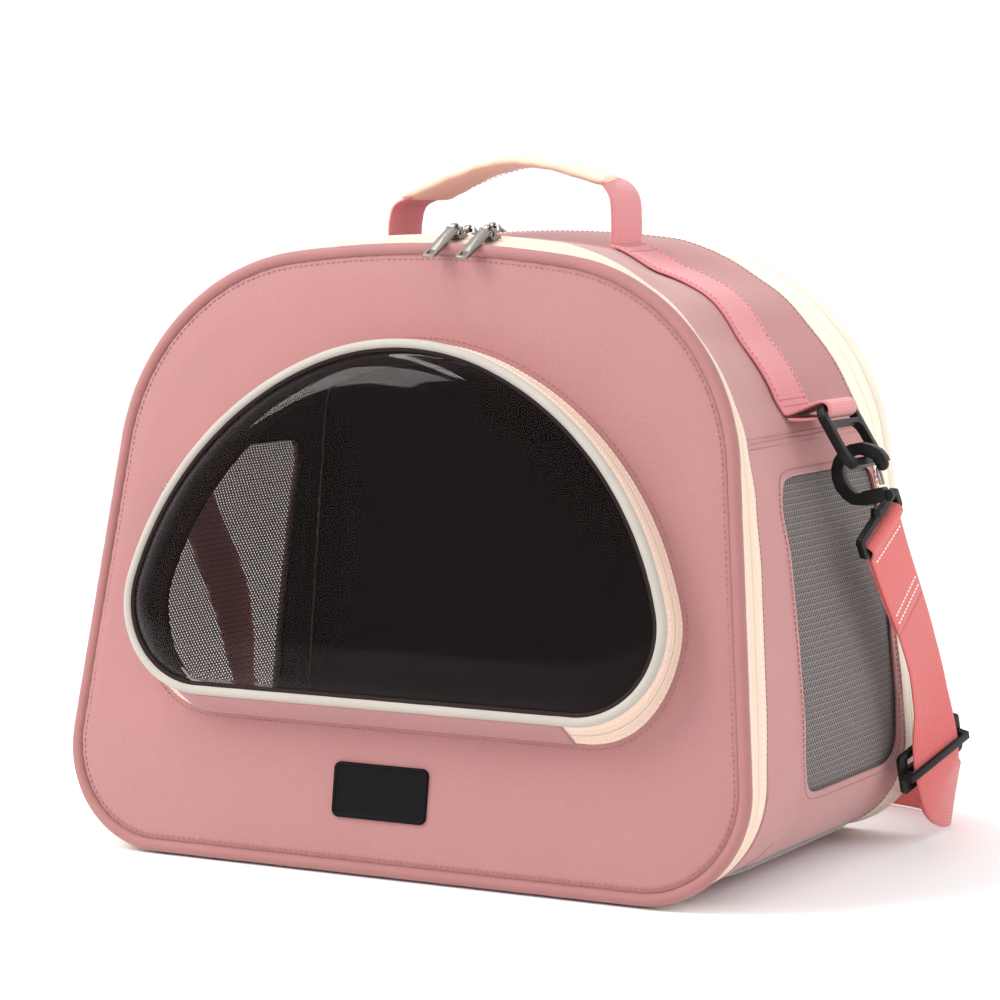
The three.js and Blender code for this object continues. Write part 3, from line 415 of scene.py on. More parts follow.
def catmull(points, per):
    """A centripetal Catmull-Rom line through the points, with that many steps between two."""
    p = np.asarray(points, float)
    p = np.vstack([2 * p[0] - p[1], p, 2 * p[-1] - p[-2]])
    knots = running(np.linalg.norm(np.diff(p, axis=0), axis=1) ** 0.5)
    line = []
    for k in range(len(p) - 3):
        a, b, c, d = p[k:k + 4]
        ka, kb, kc, kd = knots[k:k + 4]
        for t in np.linspace(kb, kc, per, endpoint=False):
            ab, bc, cd = between(a, b, t, ka, kb), between(b, c, t, kb, kc), between(c, d, t, kc, kd)
            abc, bcd = between(ab, bc, t, ka, kc), between(bc, cd, t, kb, kd)
            line.append(between(abc, bcd, t, kb, kc))
    return np.array(line + [p[-2]])


def stitches(points, normals, step=3.2, length=2.3, radius=0.26, material=0):
    """Thread along a line: one short raised capsule for each stitch."""
    both = resample(np.hstack([points, np.broadcast_to(normals, np.shape(points))]), step)
    middle = (both[1:, :3] + both[:-1, :3]) / 2
    along = unit(both[1:, :3] - both[:-1, :3])
    normal = unit(both[1:, 3:] + both[:-1, 3:])
    side = np.cross(along, normal)
    angle = np.linspace(0, 2 * math.pi, 6, endpoint=False)
    rings = []
    for share, size, rise in ((-0.5, 0.35, -0.6), (-0.3, 1, 0.2), (0.3, 1, 0.2), (0.5, 0.35, -0.6)):
        centre = middle + along * length * share + normal * radius * rise
        reach = np.stack([np.cos(angle), np.sin(angle)], axis=-1) * radius * size
        rings.append(centre[:, None] + side[:, None] * reach[:, :1] + normal[:, None] * reach[:, 1:])
    grid = np.stack(rings, axis=1)  # stitch, ring, corner, xyz
    r, c = np.meshgrid(np.arange(3) * 6, np.arange(6), indexing="ij")
    after = (c + 1) % 6
    quad = np.stack([r + c, r + 6 + c, r + 6 + after, r + after], axis=-1).reshape(-1, 4)
    quads = (quad + np.arange(len(grid))[:, None, None] * 24).reshape(-1, 4)
    blank = np.zeros((len(quads), 4, 2))
    return {"v": grid.reshape(-1, 3), "q": quads, "uv": blank, "ends": [], "m": material}


def sew(name, lines, body, look="pink_thread"):
    """A piece made of rows of stitches."""
    return make_piece(name, lines, look, body=body)


# ---- materials

class Shader:
    """A node material built up from small steps."""

    def __init__(self, name, **sockets):
        self.material = bpy.data.materials.new(name)
        self.material.use_nodes = True
        self.tree = self.material.node_tree
        self.bsdf = self.tree.nodes["Principled BSDF"]
        for key, value in sockets.items():
            self.bsdf.inputs[key.replace("_", " ")].default_value = value

    def add(self, kind, inputs, output=0, **props):
        made = self.tree.nodes.new(kind)
        for key, value in props.items():
            setattr(made, key, value)
        for key, value in inputs.items():
            if isinstance(value, bpy.types.NodeSocket):
                self.tree.links.new(value, made.inputs[key])
            else:
                made.inputs[key].default_value = value
        return made.outputs[output]

    def math(self, operation, a, b=0.0, c=0.5):
        return self.add("ShaderNodeMath", {0: a, 1: b, 2: c}, operation=operation)

    def plus(self, a, b):
        return self.math("ADD", a, b)

    def times(self, a, b):
        return self.math("MULTIPLY", a, b)

    def position(self):
        """Object position in millimetres."""
        place = self.add("ShaderNodeTexCoord", {}, output=3)
        return self.add("ShaderNodeVectorMath", {0: place, "Scale": 1000.0}, operation="SCALE")

    def split(self, vector):
        return self.add("ShaderNodeSeparateXYZ", {0: vector}).node.outputs

    def uv(self):
        """The texture coordinates, and their u and v, in millimetres."""
        found = self.add("ShaderNodeTexCoord", {}, output=2)
        return found, *self.split(found)[:2]

    def wave(self, value, pitch, phase=0.0):
        """A cosine of the value with that pitch, from 0 to 1."""
        turned = self.math("MULTIPLY_ADD", value, 2 * math.pi / pitch, phase)
        return self.half(self.math("COSINE", turned))

    def half(self, value):
        """A value from -1 to 1 brought to 0 to 1."""
        return self.math("MULTIPLY_ADD", value, 0.5, 0.5)

    def noise(self, vector, scale, detail=3.0, rough=0.6):
        inputs = {"Vector": vector, "Scale": scale, "Detail": detail, "Roughness": rough}
        return self.add("ShaderNodeTexNoise", inputs)

    def ramp(self, value, low, high):
        return self.add("ShaderNodeMapRange", {0: value, 1: 0.0, 2: 1.0, 3: low, 4: high})

    def tint(self, color, *steps):
        """The colour times a factor for each step's value, which runs from low to high."""
        for value, low, high in steps:
            inputs = {0: 1.0, 6: color, 7: self.ramp(value, low, high)}
            color = self.add("ShaderNodeMix", inputs, output=2, data_type="RGBA", blend_type="MULTIPLY")
        return color

    def bump(self, height, distance, strength=1.0, normal=None):
        inputs = {"Height": height, "Distance": distance * MM, "Strength": strength}
        if normal is not None:
            inputs["Normal"] = normal
        return self.add("ShaderNodeBump", inputs)

    def finish(self, **sockets):
        """Links the last steps to the shader's sockets and gives the material."""
        for key, value in sockets.items():
            self.tree.links.new(value, self.bsdf.inputs[key.replace("_", " ")])
        return self.material


def cloth_material(name, color, pitch=0.9, mottled=0.10, sheen=0.25, depth=0.12, use_uv=True, gloss=0.5):
    """Plain weave: warp and weft crossing at the given pitch, slightly mottled yarn."""
    shader = Shader(name, Roughness=0.82, Sheen_Weight=sheen, Sheen_Roughness=0.5, Specular_IOR_Level=gloss)
    place = shader.position()
    if use_uv:
        coordinate, u, v = shader.uv()
    else:
        x, y, v = shader.split(place)
        coordinate, u = place, shader.plus(x, y)
    warp, weft = (shader.math("SINE", shader.times(value, math.pi / pitch)) for value in (u, v))
    height = shader.half(shader.times(warp, weft))
    yarn = shader.noise(coordinate, 0.9, 2.0)
    broad = shader.noise(place, 0.018, 3.0)
    creases = shader.bump(shader.noise(place, 0.05, 4.0), 0.9, 0.35)
    shade = shader.tint(color, (yarn, 1 - mottled, 1 + mottled), (broad, 0.95, 1.05), (height, 0.93, 1.04))
    return shader.finish(
        Base_Color=shade,
        Roughness=shader.ramp(yarn, 0.74, 0.9),
        Normal=shader.bump(height, depth, 0.8, creases))


def webbing_material(name, color):
    """Flat webbing: warp ribs along it, weft picks across."""
    shader = Shader(name, Roughness=0.7, Sheen_Weight=0.3, Sheen_Roughness=0.4)
    coordinate, u, v = shader.uv()
    rib = shader.wave(v, 1.9)
    pick = shader.wave(shader.plus(u, shader.times(rib, 0.5)), 1.35)
    height = shader.times(shader.math("POWER", rib, 0.6), shader.half(pick))
    yarn = shader.noise(coordinate, 0.7, 2.0)
    broad = shader.noise(shader.position(), 0.02)
    return shader.finish(
        Base_Color=shader.tint(color, (height, 0.8, 1.06), (yarn, 0.92, 1.07), (broad, 0.94, 1.05)),
        Roughness=shader.ramp(yarn, 0.62, 0.8),
        Normal=shader.bump(height, 0.25, 0.9))


def piping_material(name, color):
    """A fabric-covered cord: bias weave with faint wraps along it."""
    shader = Shader(name, Roughness=0.65, Sheen_Weight=0.2)
    _, u, v = shader.uv()
    bias = (shader.plus(u, v), shader.math("SUBTRACT", u, v))
    height = shader.times(*[shader.wave(value, 1.1) for value in bias])
    wraps = shader.noise(shader.position(), 0.06, 3.0)
    return shader.finish(
        Base_Color=shader.tint(color, (height, 0.92, 1.05), (wraps, 0.9, 1.1)),
        Roughness=shader.ramp(wraps, 0.55, 0.75),
        Normal=shader.bump(height, 0.12, 0.8, shader.bump(wraps, 0.6, 0.4)))


def tape_material(name, color):
    """Zip tape: fine twill running along it."""
    shader = Shader(name, Roughness=0.72, Sheen_Weight=0.15)
    coordinate, u, v = shader.uv()
    twill = shader.wave(shader.plus(u, shader.times(v, 1.6)), 1.0)
    lines = shader.wave(v, 2.4)
    yarn = shader.noise(coordinate, 0.8)
    return shader.finish(
        Base_Color=shader.tint(color, (twill, 0.94, 1.03), (lines, 0.97, 1.02), (yarn, 0.95, 1.04)),
        Roughness=shader.ramp(yarn, 0.64, 0.8),
        Normal=shader.bump(shader.plus(twill, lines), 0.12, 0.8))


def net_material(name, color):
    """Knitted netting: rows of staggered open holes between raised yarn ridges."""
    shader = Shader(name, Roughness=0.75, Sheen_Weight=0.2)
    coordinate, u, v = shader.uv()
    holes = [shader.times(shader.wave(v, 3.3, phase), shader.wave(u, 3.1, phase)) for phase in (0, math.pi)]
    open_share = shader.math("MAXIMUM", *holes)
    ridges = shader.wave(v, 3.3, math.pi * 0.6)
    height = shader.plus(shader.math("SUBTRACT", 1.0, open_share), shader.times(ridges, 0.7))
    yarn = shader.noise(coordinate, 1.6)
    return shader.finish(
        Base_Color=shader.tint(color, (ridges, 0.72, 1.15), (yarn, 0.85, 1.12)),
        Alpha=shader.math("LESS_THAN", open_share, 0.80),
        Roughness=shader.ramp(yarn, 0.65, 0.85),
        Normal=shader.bump(height, 0.5, 0.9))


def plastic_material(name, color, rough=0.42, gloss=0.25):
    """Moulded plastic with a fine grain."""
    shader = Shader(name, Roughness=rough, Specular_IOR_Level=gloss)
    place = shader.position()
    grain = shader.noise(place, 1.4, 3.0)
    return shader.finish(
        Base_Color=shader.tint(color, (shader.noise(place, 0.12, 2.0), 0.8, 1.25)),
        Roughness=shader.ramp(grain, rough - 0.08, rough + 0.12),
        Normal=shader.bump(grain, 0.06, 0.5))


def metal_material(name, color):
    """Dull plated metal, patchily polished and finely scratched."""
    shader = Shader(name, Metallic=1.0, Roughness=0.3)
    place = shader.position()
    patina = shader.noise(place, 0.5, 4.0)
    return shader.finish(
        Base_Color=shader.tint(color, (patina, 0.55, 1.2)),
        Roughness=shader.ramp(patina, 0.42, 0.22),
        Normal=shader.bump(shader.noise(place, 2.2, 3.0), 0.05, 0.5))


def vinyl_material(name):
    """Clear flexible sheet: nearly smooth, faintly wavy."""
    shader = Shader(name, IOR=1.16, Base_Color=(0.80, 0.70, 0.68, 1.0), Transmission_Weight=1.0)
    place = shader.position()
    return shader.finish(
        Roughness=shader.ramp(shader.noise(place, 0.09, 3.0), 0.01, 0.05),
        Normal=shader.bump(shader.noise(place, 0.012, 2.0), 2.0, 0.25))


def pile_material(name, color):
    """Short pile of the floor mat."""
    shader = Shader(name, Roughness=0.95, Sheen_Weight=0.6, Sheen_Roughness=0.6)
    place = shader.position()
    tufts = shader.noise(place, 0.9, 4.0, 0.7)
    return shader.finish(
        Base_Color=shader.tint(color, (tufts, 0.7, 1.25), (shader.noise(place, 0.05, 3.0), 0.9, 1.1)),
        Roughness=shader.ramp(tufts, 0.85, 1.0),
        Normal=shader.bump(tufts, 0.8, 0.9))


def paper_material():
    """The white floor under the bag."""
    shader = Shader("studio_paper", Roughness=0.9)
    mottle = shader.noise(shader.position(), 0.01)
    return shader.finish(
        Base_Color=shader.tint((0.975, 0.975, 0.975, 1), (mottle, 0.99, 1.01)),
        Roughness=shader.ramp(mottle, 0.85, 0.95))


DARK = {"sheen": 0.0, "depth": 0.02}
LOOKS = {
    "cloth": cloth_material("oxford_cloth", (0.385, 0.172, 0.168, 1)),
    # The tunnel's cloth is the doors' oxford cloth painted lighter, to make up for the shade on the walls.
    "cloth_wall_painted_lighter": cloth_material("oxford_cloth_wall", (0.44, 0.192, 0.186, 1)),
    "base": cloth_material("base_cloth", (0.52, 0.25, 0.25, 1), use_uv=False),
    "webbing": webbing_material("webbing", (0.72, 0.25, 0.265, 1)),
    "strap": webbing_material("strap_webbing", (0.66, 0.13, 0.125, 1)),
    "piping": piping_material("piping_cloth", (0.36, 0.145, 0.138, 1)),
    "rear_piping": piping_material("rear_piping_cloth", (0.86, 0.76, 0.63, 1)),
    "trim": piping_material("window_binding", (0.44, 0.40, 0.355, 1)),
    "tape": tape_material("zip_tape", (0.80, 0.62, 0.49, 1)),
    "rear_tape": tape_material("rear_zip_tape", (0.93, 0.84, 0.70, 1)),
    "sleeve": cloth_material("handle_cloth", (0.86, 0.65, 0.50, 1), pitch=0.8, mottled=0.06),
    "lining": cloth_material("lining_cloth", (0.016, 0.006, 0.006, 1), use_uv=False, gloss=0.08, **DARK),
    "wall_lining": cloth_material("wall_lining_cloth", (0.02, 0.014, 0.014, 1), gloss=0.08, **DARK),
    "border": cloth_material("border_cloth", (0.024, 0.016, 0.015, 1), gloss=0.1, **DARK),
    "net": net_material("netting", (0.145, 0.12, 0.113, 1)),
    "coil": plastic_material("zip_coil", (0.62, 0.50, 0.40, 1), 0.35),
    "thread": cloth_material("thread", (0.93, 0.83, 0.76, 1), use_uv=False),
    "pink_thread": cloth_material("pink_thread", (0.33, 0.14, 0.136, 1), use_uv=False),
    "black": plastic_material("moulded_black", (0.005, 0.0045, 0.005, 1)),
    "rubber": plastic_material("label_rubber", (0.004, 0.0035, 0.004, 1), 0.6, 0.1),
    "nickel": metal_material("dull_nickel", (0.29, 0.265, 0.24, 1)),
    "vinyl": vinyl_material("clear_vinyl"),
    "pile": pile_material("mat_pile", (0.19, 0.18, 0.175, 1)),
    "board": plastic_material("stiffener", (0.7, 0.68, 0.62, 1), 0.6),
}


# ---- tunnel: sides, arch, netting

RIGHT_SEAM = face_line.length_at(SEAM_HEIGHT)
FOOT = face_line.foot_length(144)  # where the sides end and the base begins
ZIP_FOOT = face_line.foot_length(150)
LENGTH_TABLE = np.linspace(FOOT - 20, RIGHT_SEAM + 20, 240)


def across(length, shares, edge=PANEL_EDGE):
    """Depths y at shares 0 to 1 between the two zips, for lengths along the outline."""
    front, rear = edges_at(length)
    return front + edge + (rear - front - 2 * edge) * shares


def puckered(points, amount, scale=26.0, seed=0.0):
    """The points with gentle creases pushed along x and z away from the tunnel's axis."""
    away = points - [0, 0, 170]
    away[..., 1] = 0
    away = unit(away)
    return points + away * (noise_at(points, scale, seed) * amount)[..., None]


def wall_sheet(lengths, columns, inset, crease=0.0):
    """The tunnel wall between the two zips, over those lengths along the outline."""
    shares = np.linspace(0, 1, columns)[None, :]
    lengths = lengths[:, None]
    y = across(lengths, shares)
    points = wall(lengths, y, inset)
    if crease:
        hold = np.minimum(np.sin(math.pi * shares) * 2.5, 1)
        points = points + (puckered(points, crease) - points) * hold[..., None]
    return patch(points, lengths + 0 * y, y)


def opening_ring(grow, count):
    """The rounded opening in a side, as depths y and heights z, grown by that much."""
    half_w, half_h = NET["width"] / 2 + grow, NET["height"] / 2 + grow
    power = 2 + 10 * (1 - (NET["radius"] + grow) / half_w)
    return (round_profile(half_w, half_h, count, power) + [NET["y"], NET["z"]]).T


def length_for(y, z):
    """Length along the right side where the wall at depth y is at height z."""
    found = []
    for depth, height in zip(np.ravel(y), np.ravel(z)):
        heights = wall(LENGTH_TABLE, depth, WALL_TOP)[:, 2]
        found.append(np.interp(height, heights, LENGTH_TABLE))
    return np.reshape(found, np.shape(y))


def mirror(points, sign):
    """Points of the right side as they are for sign 1, or on the left for -1."""
    return points * [sign, 1, 1]


def side_sheet(sign, inset, crease=0.0, hem=0.0):
    """A side of the tunnel with its rounded opening: rings from the opening out to the edges."""
    hole_y, hole_z = opening_ring(0, 132)
    hole_l = length_for(hole_y, hole_z)
    middle_y, middle_l = NET["y"], float(length_for([NET["y"]], [NET["z"]])[0])
    dy, dl = hole_y - middle_y, hole_l - middle_l
    to_zip = np.where(dy > 0, across(hole_l, 1.0), across(hole_l, 0.0)) - middle_y
    to_seam = np.where(dl > 0, RIGHT_SEAM, FOOT) - middle_l
    reach = np.minimum(np.abs(to_zip) / np.maximum(np.abs(dy), 1e-6),
                       np.abs(to_seam) / np.maximum(np.abs(dl), 1e-6))
    edge_l = middle_l + dl * reach
    edge_y = np.clip(middle_y + dy * reach, across(edge_l, 0.0), across(edge_l, 1.0))
    for edge in (FOOT, RIGHT_SEAM):
        for corner in (across(edge, 0.0), across(edge, 1.0)):
            nearest = np.argmin(np.hypot(edge_y - corner, edge_l - edge))
            edge_y[nearest], edge_l[nearest] = corner, edge
    shares = np.concatenate([[0, 0.02, 0.06, 0.1, 0.16], np.linspace(0.24, 1, 14)])[:, None]
    y = hole_y + (edge_y - hole_y) * shares
    length = hole_l + (edge_l - hole_l) * shares
    lift = hem * np.exp(-((shares - 0.04) / 0.05) ** 2)
    points = wall(length, y, inset - lift)
    if crease:
        hold = np.sin(math.pi * np.clip(shares, 0, 1)) ** 0.7
        points = points + (puckered(points, crease, seed=sign) - points) * hold[..., None]
    return patch(mirror(points, sign), length, y, wrap_cols=True)


def seam_line(length, y, inset=WALL_TOP - 0.1):
    """Points and outward normals of a line drawn on the wall."""
    points = wall(length, y, inset)
    return points, unit(wall(length, y, inset - 1) - points)


def cross_seam(length):
    """A seam line from zip to zip at one length along the outline."""
    lengths = np.full(120, length)
    return seam_line(lengths, across(lengths, np.linspace(0, 1, 120)))


def add_sides():
    """Both sides of the tunnel: the cloth, its seams and the netting in its opening."""
    for name, sign in SIDES:
        cover = side_sheet(sign, WALL_TOP + 0.75, crease=0.7, hem=0.7)
        make_piece(f"side_cover_{name}", [cover], "cloth_wall_painted_lighter", [f"side_panel_{name}"],
                   thick=COVER)
        hole_y, hole_z = opening_ring(3.4, 400)
        hole_y, hole_z = np.append(hole_y, hole_y[0]), np.append(hole_z, hole_z[0])
        points, normals = seam_line(length_for(hole_y, hole_z), hole_y)
        rows = [stitches(mirror(points + normals * 0.6, sign), mirror(normals, sign))]
        points, normals = cross_seam(RIGHT_SEAM - 3)
        rows.append(stitches(mirror(points, sign), mirror(normals, sign)))
        sew(f"side_stitches_{name}", rows, "shell")
        piece = make_piece(f"side_netting_{name}", [net_sheet(sign)], "net", [f"side_mesh_{name}"],
                           closed=False)


def net_sheet(sign):
    """The netting behind one side's opening, 8 mm wider all round and bulging a little."""
    a, b = np.meshgrid(np.linspace(-1, 1, 24), np.linspace(-1, 1, 30), indexing="ij")
    y = NET["y"] + a * (NET["width"] / 2 + 8)
    z = NET["z"] + b * (NET["height"] / 2 + 8)
    bulge = 1.2 * np.cos(a * math.pi / 2) * np.cos(b * math.pi / 2)
    return patch(mirror(wall(length_for(y, z), y, 4.4 - bulge), sign), y, z)


def add_arch():
    """The cloth over the top and the seams along its edges."""
    lengths = np.linspace(RIGHT_SEAM, face_line.total - RIGHT_SEAM, 150)
    cover = wall_sheet(lengths, 44, WALL_TOP + 0.75, crease=0.5)
    make_piece("arch_cover", [cover], "cloth_wall_painted_lighter", ["top_panel"], thick=COVER)
    length = np.linspace(FOOT, face_line.total - FOOT, 700)
    rows = [stitches(*seam_line(length, across(length, 0.0) + 2.4)),
            stitches(*seam_line(length, across(length, 1.0) - 2.4))]
    for place in (RIGHT_SEAM + 2.6, face_line.total - RIGHT_SEAM - 2.6):
        rows.append(stitches(*cross_seam(place)))
    sew("arch_stitches", rows, "shell")


def lining_band(rear, start, end):
    """Lining behind one half of a zip, from one depth to another behind the face."""
    lengths = np.linspace(FOOT, face_line.total - FOOT, 200)[:, None]
    depths = np.linspace(start, end, 4)[None, :] + 0 * lengths
    return patch(wall(lengths, behind(rear, lengths, depths), 6.2), lengths + 0 * depths, depths)


def add_wall_lining():
    """The dark lining inside the tunnel and behind the zips' halves."""
    lengths = np.linspace(RIGHT_SEAM, face_line.total - RIGHT_SEAM, 90)
    sheets = [wall_sheet(lengths, 20, LINING_DEPTH)]
    sheets += [side_sheet(sign, LINING_DEPTH) for _, sign in SIDES]
    sheets += [lining_band(rear, TAPE_SPLIT + 0.5, PANEL_EDGE + 0.5) for _, rear in FACES]
    for which, rear in FACES:
        make_piece(f"{which}_rim_lining", [lining_band(rear, 0.5, TAPE_SPLIT - 0.5)], "wall_lining",
                   body=f"{which}_door", thick=0.8)
    make_piece("tunnel_lining", sheets, "wall_lining", ["inner_lining"], thick=0.8)


# ---- base and mat

def slab_piece(name, half_x, half_y, low, high, crown, look, nodes):
    """A soft slab: rounded edges, its top crowned by that much."""
    rings = [(0.0, 0.0), (0.35, 0.02), (0.6, 0.06), (0.8, 0.14), (0.92, 0.3), (0.985, 0.6), (1.0, 1.0)]
    outline = round_profile(half_x, half_y, 120, 9.0)
    middle, half = (low + high) / 2, (high - low) / 2
    levels = []
    for way in (1, -1):
        order = rings if way > 0 else rings[::-1][1:]
        for share, drop in order:
            z = middle + way * half * (1 - drop) + (crown * (1 - share ** 2) if way > 0 else 0)
            levels.append(np.column_stack([outline * max(share, 0.002), np.full(120, z)]))
    grid = np.array(levels)
    grid[..., 2] += 0.25 * noise_at(grid, 30.0) * (grid[..., 2] > middle)
    item = patch(grid, grid[..., 0], grid[..., 1], wrap_cols=True, caps=True)
    return make_piece(name, [item], look, nodes)


def add_base():
    """The cloth under the bag and the mat inside it."""
    slab_piece("base_cover", 150, DEPTH / 2 - 5.6, 0.0, 2.9, 0.0, "base", ["base_panel"])
    mat = slab_piece("mat_pad", 181, 108, 8.2, 19.0, 1.8, "pile", ["floor_mat"])


# ---- zips and piping round the faces

def coil_of(line, side, length, thick, swing, phase):
    """A zip's teeth as one cord that is thick and thin in turn along its length."""
    radius = thick + swing * np.cos(length * 2 * math.pi / COIL_PITCH + phase)
    return sweep(line, side, round_profile(1, 1, 6) * radius[:, None, None])


def zip_band(name, rear, start, end, inner, body, nodes):
    """Half of a zip: its tape, turned down at the teeth, the coil along that edge and a seam."""
    left, right = ZIP_FOOT, face_line.total - ZIP_FOOT
    way = 1 if inner else -1
    lengths = np.linspace(left, right, 560)[:, None]
    depths = np.linspace(start, end, 9) + 0 * lengths
    from_teeth = np.abs(depths - TAPE_SPLIT)
    fold = 0.55 * np.exp(-((from_teeth - 1.8) / 0.9) ** 2) - 0.5 * np.exp(-(from_teeth / 0.6) ** 2)
    tape = patch(wall(lengths, behind(rear, lengths, depths), 2.2 - fold), lengths + 0 * depths, depths)
    make_piece(name, [tape], "rear_tape" if rear else "tape", nodes, thick=0.9)
    length = np.linspace(left, right, 3400)
    line = wall(length, behind(rear, length, TAPE_SPLIT + 0.85 * way), 2.9)
    teeth = coil_of(line, (0, 1, 0), length, 0.62, 0.28, 0 if inner else math.pi)
    make_piece(name + "_teeth", [teeth], "coil", body=body)
    length = np.linspace(left, right, 800)
    points, normals = seam_line(length, behind(rear, length, TAPE_SPLIT + (6.8 if inner else -6.0)), 1.75)
    sew(name + "_stitches", [stitches(points, normals, 3.0, 2.2, 0.2)], body, "thread")


def piping_ring(name, outline, radius, rise, rear, out, look, nodes):
    """A cord sewn in round an outline, its centre one radius inside it."""
    x, s, nx, ns = outline.inset(radius)
    points = on_face(rear, x, out, s + rise)
    wobble = 1 + 0.035 * noise_at(points, 9.0, 3.0)
    profile = round_profile(radius, radius, 16) * wobble[:, None, None]
    cord = sweep(points, unit(face_way(rear, nx, 0, ns)), profile, closed=True)
    make_piece(name, [cord], look, nodes)


def add_face_zips():
    """The zip and the piping round each door."""
    for which, rear in FACES:
        zip_band(f"{which}_tape_outer", rear, 3.4, TAPE_SPLIT - 0.2, False, f"{which}_door",
                 [f"{which}_zip_tape_door"])
        zip_band(f"{which}_tape_inner", rear, TAPE_SPLIT + 0.2, TAPE_END + 1.5, True, "shell",
                 [f"{which}_zip_tape_body"])
        look = "rear_piping" if rear else "piping"
        piping_ring(f"{which}_edge_piping", face_line, PIPING_RADIUS, 0, rear, 0, look,
                    [f"{which}_piping"])


# ---- the two doors

FACE_COLUMNS = 280


def face_sheet(rear, out, inset, crown, opening, window_inset=8.0, crease=0.4):
    """A door's cloth: rings from the piping to the window's edge, or to the middle."""
    share = np.linspace(0, 1, FACE_COLUMNS, endpoint=False)
    length = share * face_line.total
    x0, s0, nx, ns = face_line.at(length)
    x0, s0 = x0 - nx * inset, s0 - ns * inset
    if opening:
        x1, s1, nx1, ns1 = window_line.at(share * window_line.total)
        x1, s1 = x1 - nx1 * window_inset, s1 - ns1 * window_inset + WINDOW_SILL
    else:
        x1, s1 = x0 * 0.004, 165 + (s0 - 165) * 0.004
    t = np.concatenate([[0, 0.012, 0.026, 0.045, 0.07], np.linspace(0.1, 1, 26)])[:, None]
    x, s = x0 + (x1 - x0) * t, s0 + (s1 - s0) * t
    hump = np.minimum(t * 5, 1) * (np.minimum((1 - t) * 6, 1) if opening else 1)
    creases = crease * noise_at(np.stack([x, s, 0 * x], axis=-1), 34.0) * hump
    pleats = np.sin(length * 2 * math.pi / 11.0 + 3 * np.sin(length / 37))
    gathers = 0.65 * crease * np.exp(-t * 9) * pleats * (t > 0)
    groove = 2.0 * np.exp(-(t / 0.022) ** 2) * (crown > 0)
    sheet = patch(on_face(rear, x, out - groove + crown * hump + creases + gathers, s), x, s, wrap_cols=True)
    return sheet if opening else close_middle(sheet, FACE_COLUMNS)


def close_middle(sheet, count):
    """The sheet with its last ring, of that many points, filled in."""
    size = len(sheet["v"])
    sheet["ends"] = [list(range(size - count, size))[::-1]]
    return sheet


def add_doors():
    """Each door's cloth and lining, and the stitching round them."""
    for which, rear in FACES:
        crown, crease = (4.0, 0.9) if rear else (1.2, 0.4)
        outer = face_sheet(rear, 0.9, 5.6, crown, not rear, crease=crease)
        inner = face_sheet(rear, -3.0, 9.0, 0, not rear, window_inset=9.5)
        make_piece(f"{which}_door_cloth", [outer], "cloth", [f"{which}_panel"], thick=1.2)
        make_piece(f"{which}_door_lining", [inner], "lining", [f"{which}_lining"], thick=0.9)
    for which, rear in FACES:
        x, s, nx, ns = face_line.inset(9.0)
        lines = [on_face(rear, x, 2.0, s)]
        if not rear:
            lines.append(window_wall(window_line.even(2.0), 2.75, -2.6))
        outward = face_way(rear, 0, 1, 0)[None]
        rows = [stitches(np.vstack([line, line[:1]]), outward, 3.4, 2.4) for line in lines]
        sew(f"{which}_door_stitches", rows, f"{which}_door")


def rounded_outline(width, height, radius):
    """A rectangle with round corners, as points anticlockwise from its right side."""
    corners = []
    for way_x, way_y, start in ((1, 1, 0), (-1, 1, 90), (-1, -1, 180), (1, -1, 270)):
        centre = [way_x * (width / 2 - radius), way_y * (height / 2 - radius)]
        angle = np.radians(np.linspace(start, start + 90, 15))
        corners.append(centre + radius * np.column_stack([np.cos(angle), np.sin(angle)]))
    return np.vstack(corners)


def add_label():
    """A blank moulded patch with a raised rim and a groove inside it."""
    rings = []
    rim = [(0, -1), (0, 1.2), (0.5, 1.8), (1.1, 1.9), (1.7, 1.75), (2.1, 1.2), (2.6, 1.1)]
    for inset, out in rim + [(8, 1.15), (14, 1.15)]:
        ring = rounded_outline(57 - 2 * inset, 29.5 - 2 * inset, max(4 - inset, 0.4))
        rings.append(on_face(False, ring[:, 0] - 6, 2.7 + out, ring[:, 1] + 44.3))
    slab = patch(rings, wrap_cols=True, caps=True)
    make_piece("label_blank", [slab], "rubber", ["label_patch"])


# ---- the bubble window

def window_wall(length, out, inset):
    """Points of the wall round the window, between its foot on the face and its lid."""
    x, s, nx, ns = lid_line.at(length * lid_line.total / window_line.total)
    spread = WALL_SPREAD * smooth(-ns) * np.clip((21 - out) / 19.2, 0, 1)
    return on_face(False, x - nx * inset, out, s - ns * inset + LID_SILL - spread)


def around_window(inset, depths, start, end, step=2.2):
    """A wall standing off the face along the window's outline, between two of its lengths."""
    length = np.linspace(start, end, round((end - start) / step))[:, None]
    out = np.asarray(depths) + 0 * length
    length = length + 0 * out
    return patch(window_wall(length, out, inset), length, out)


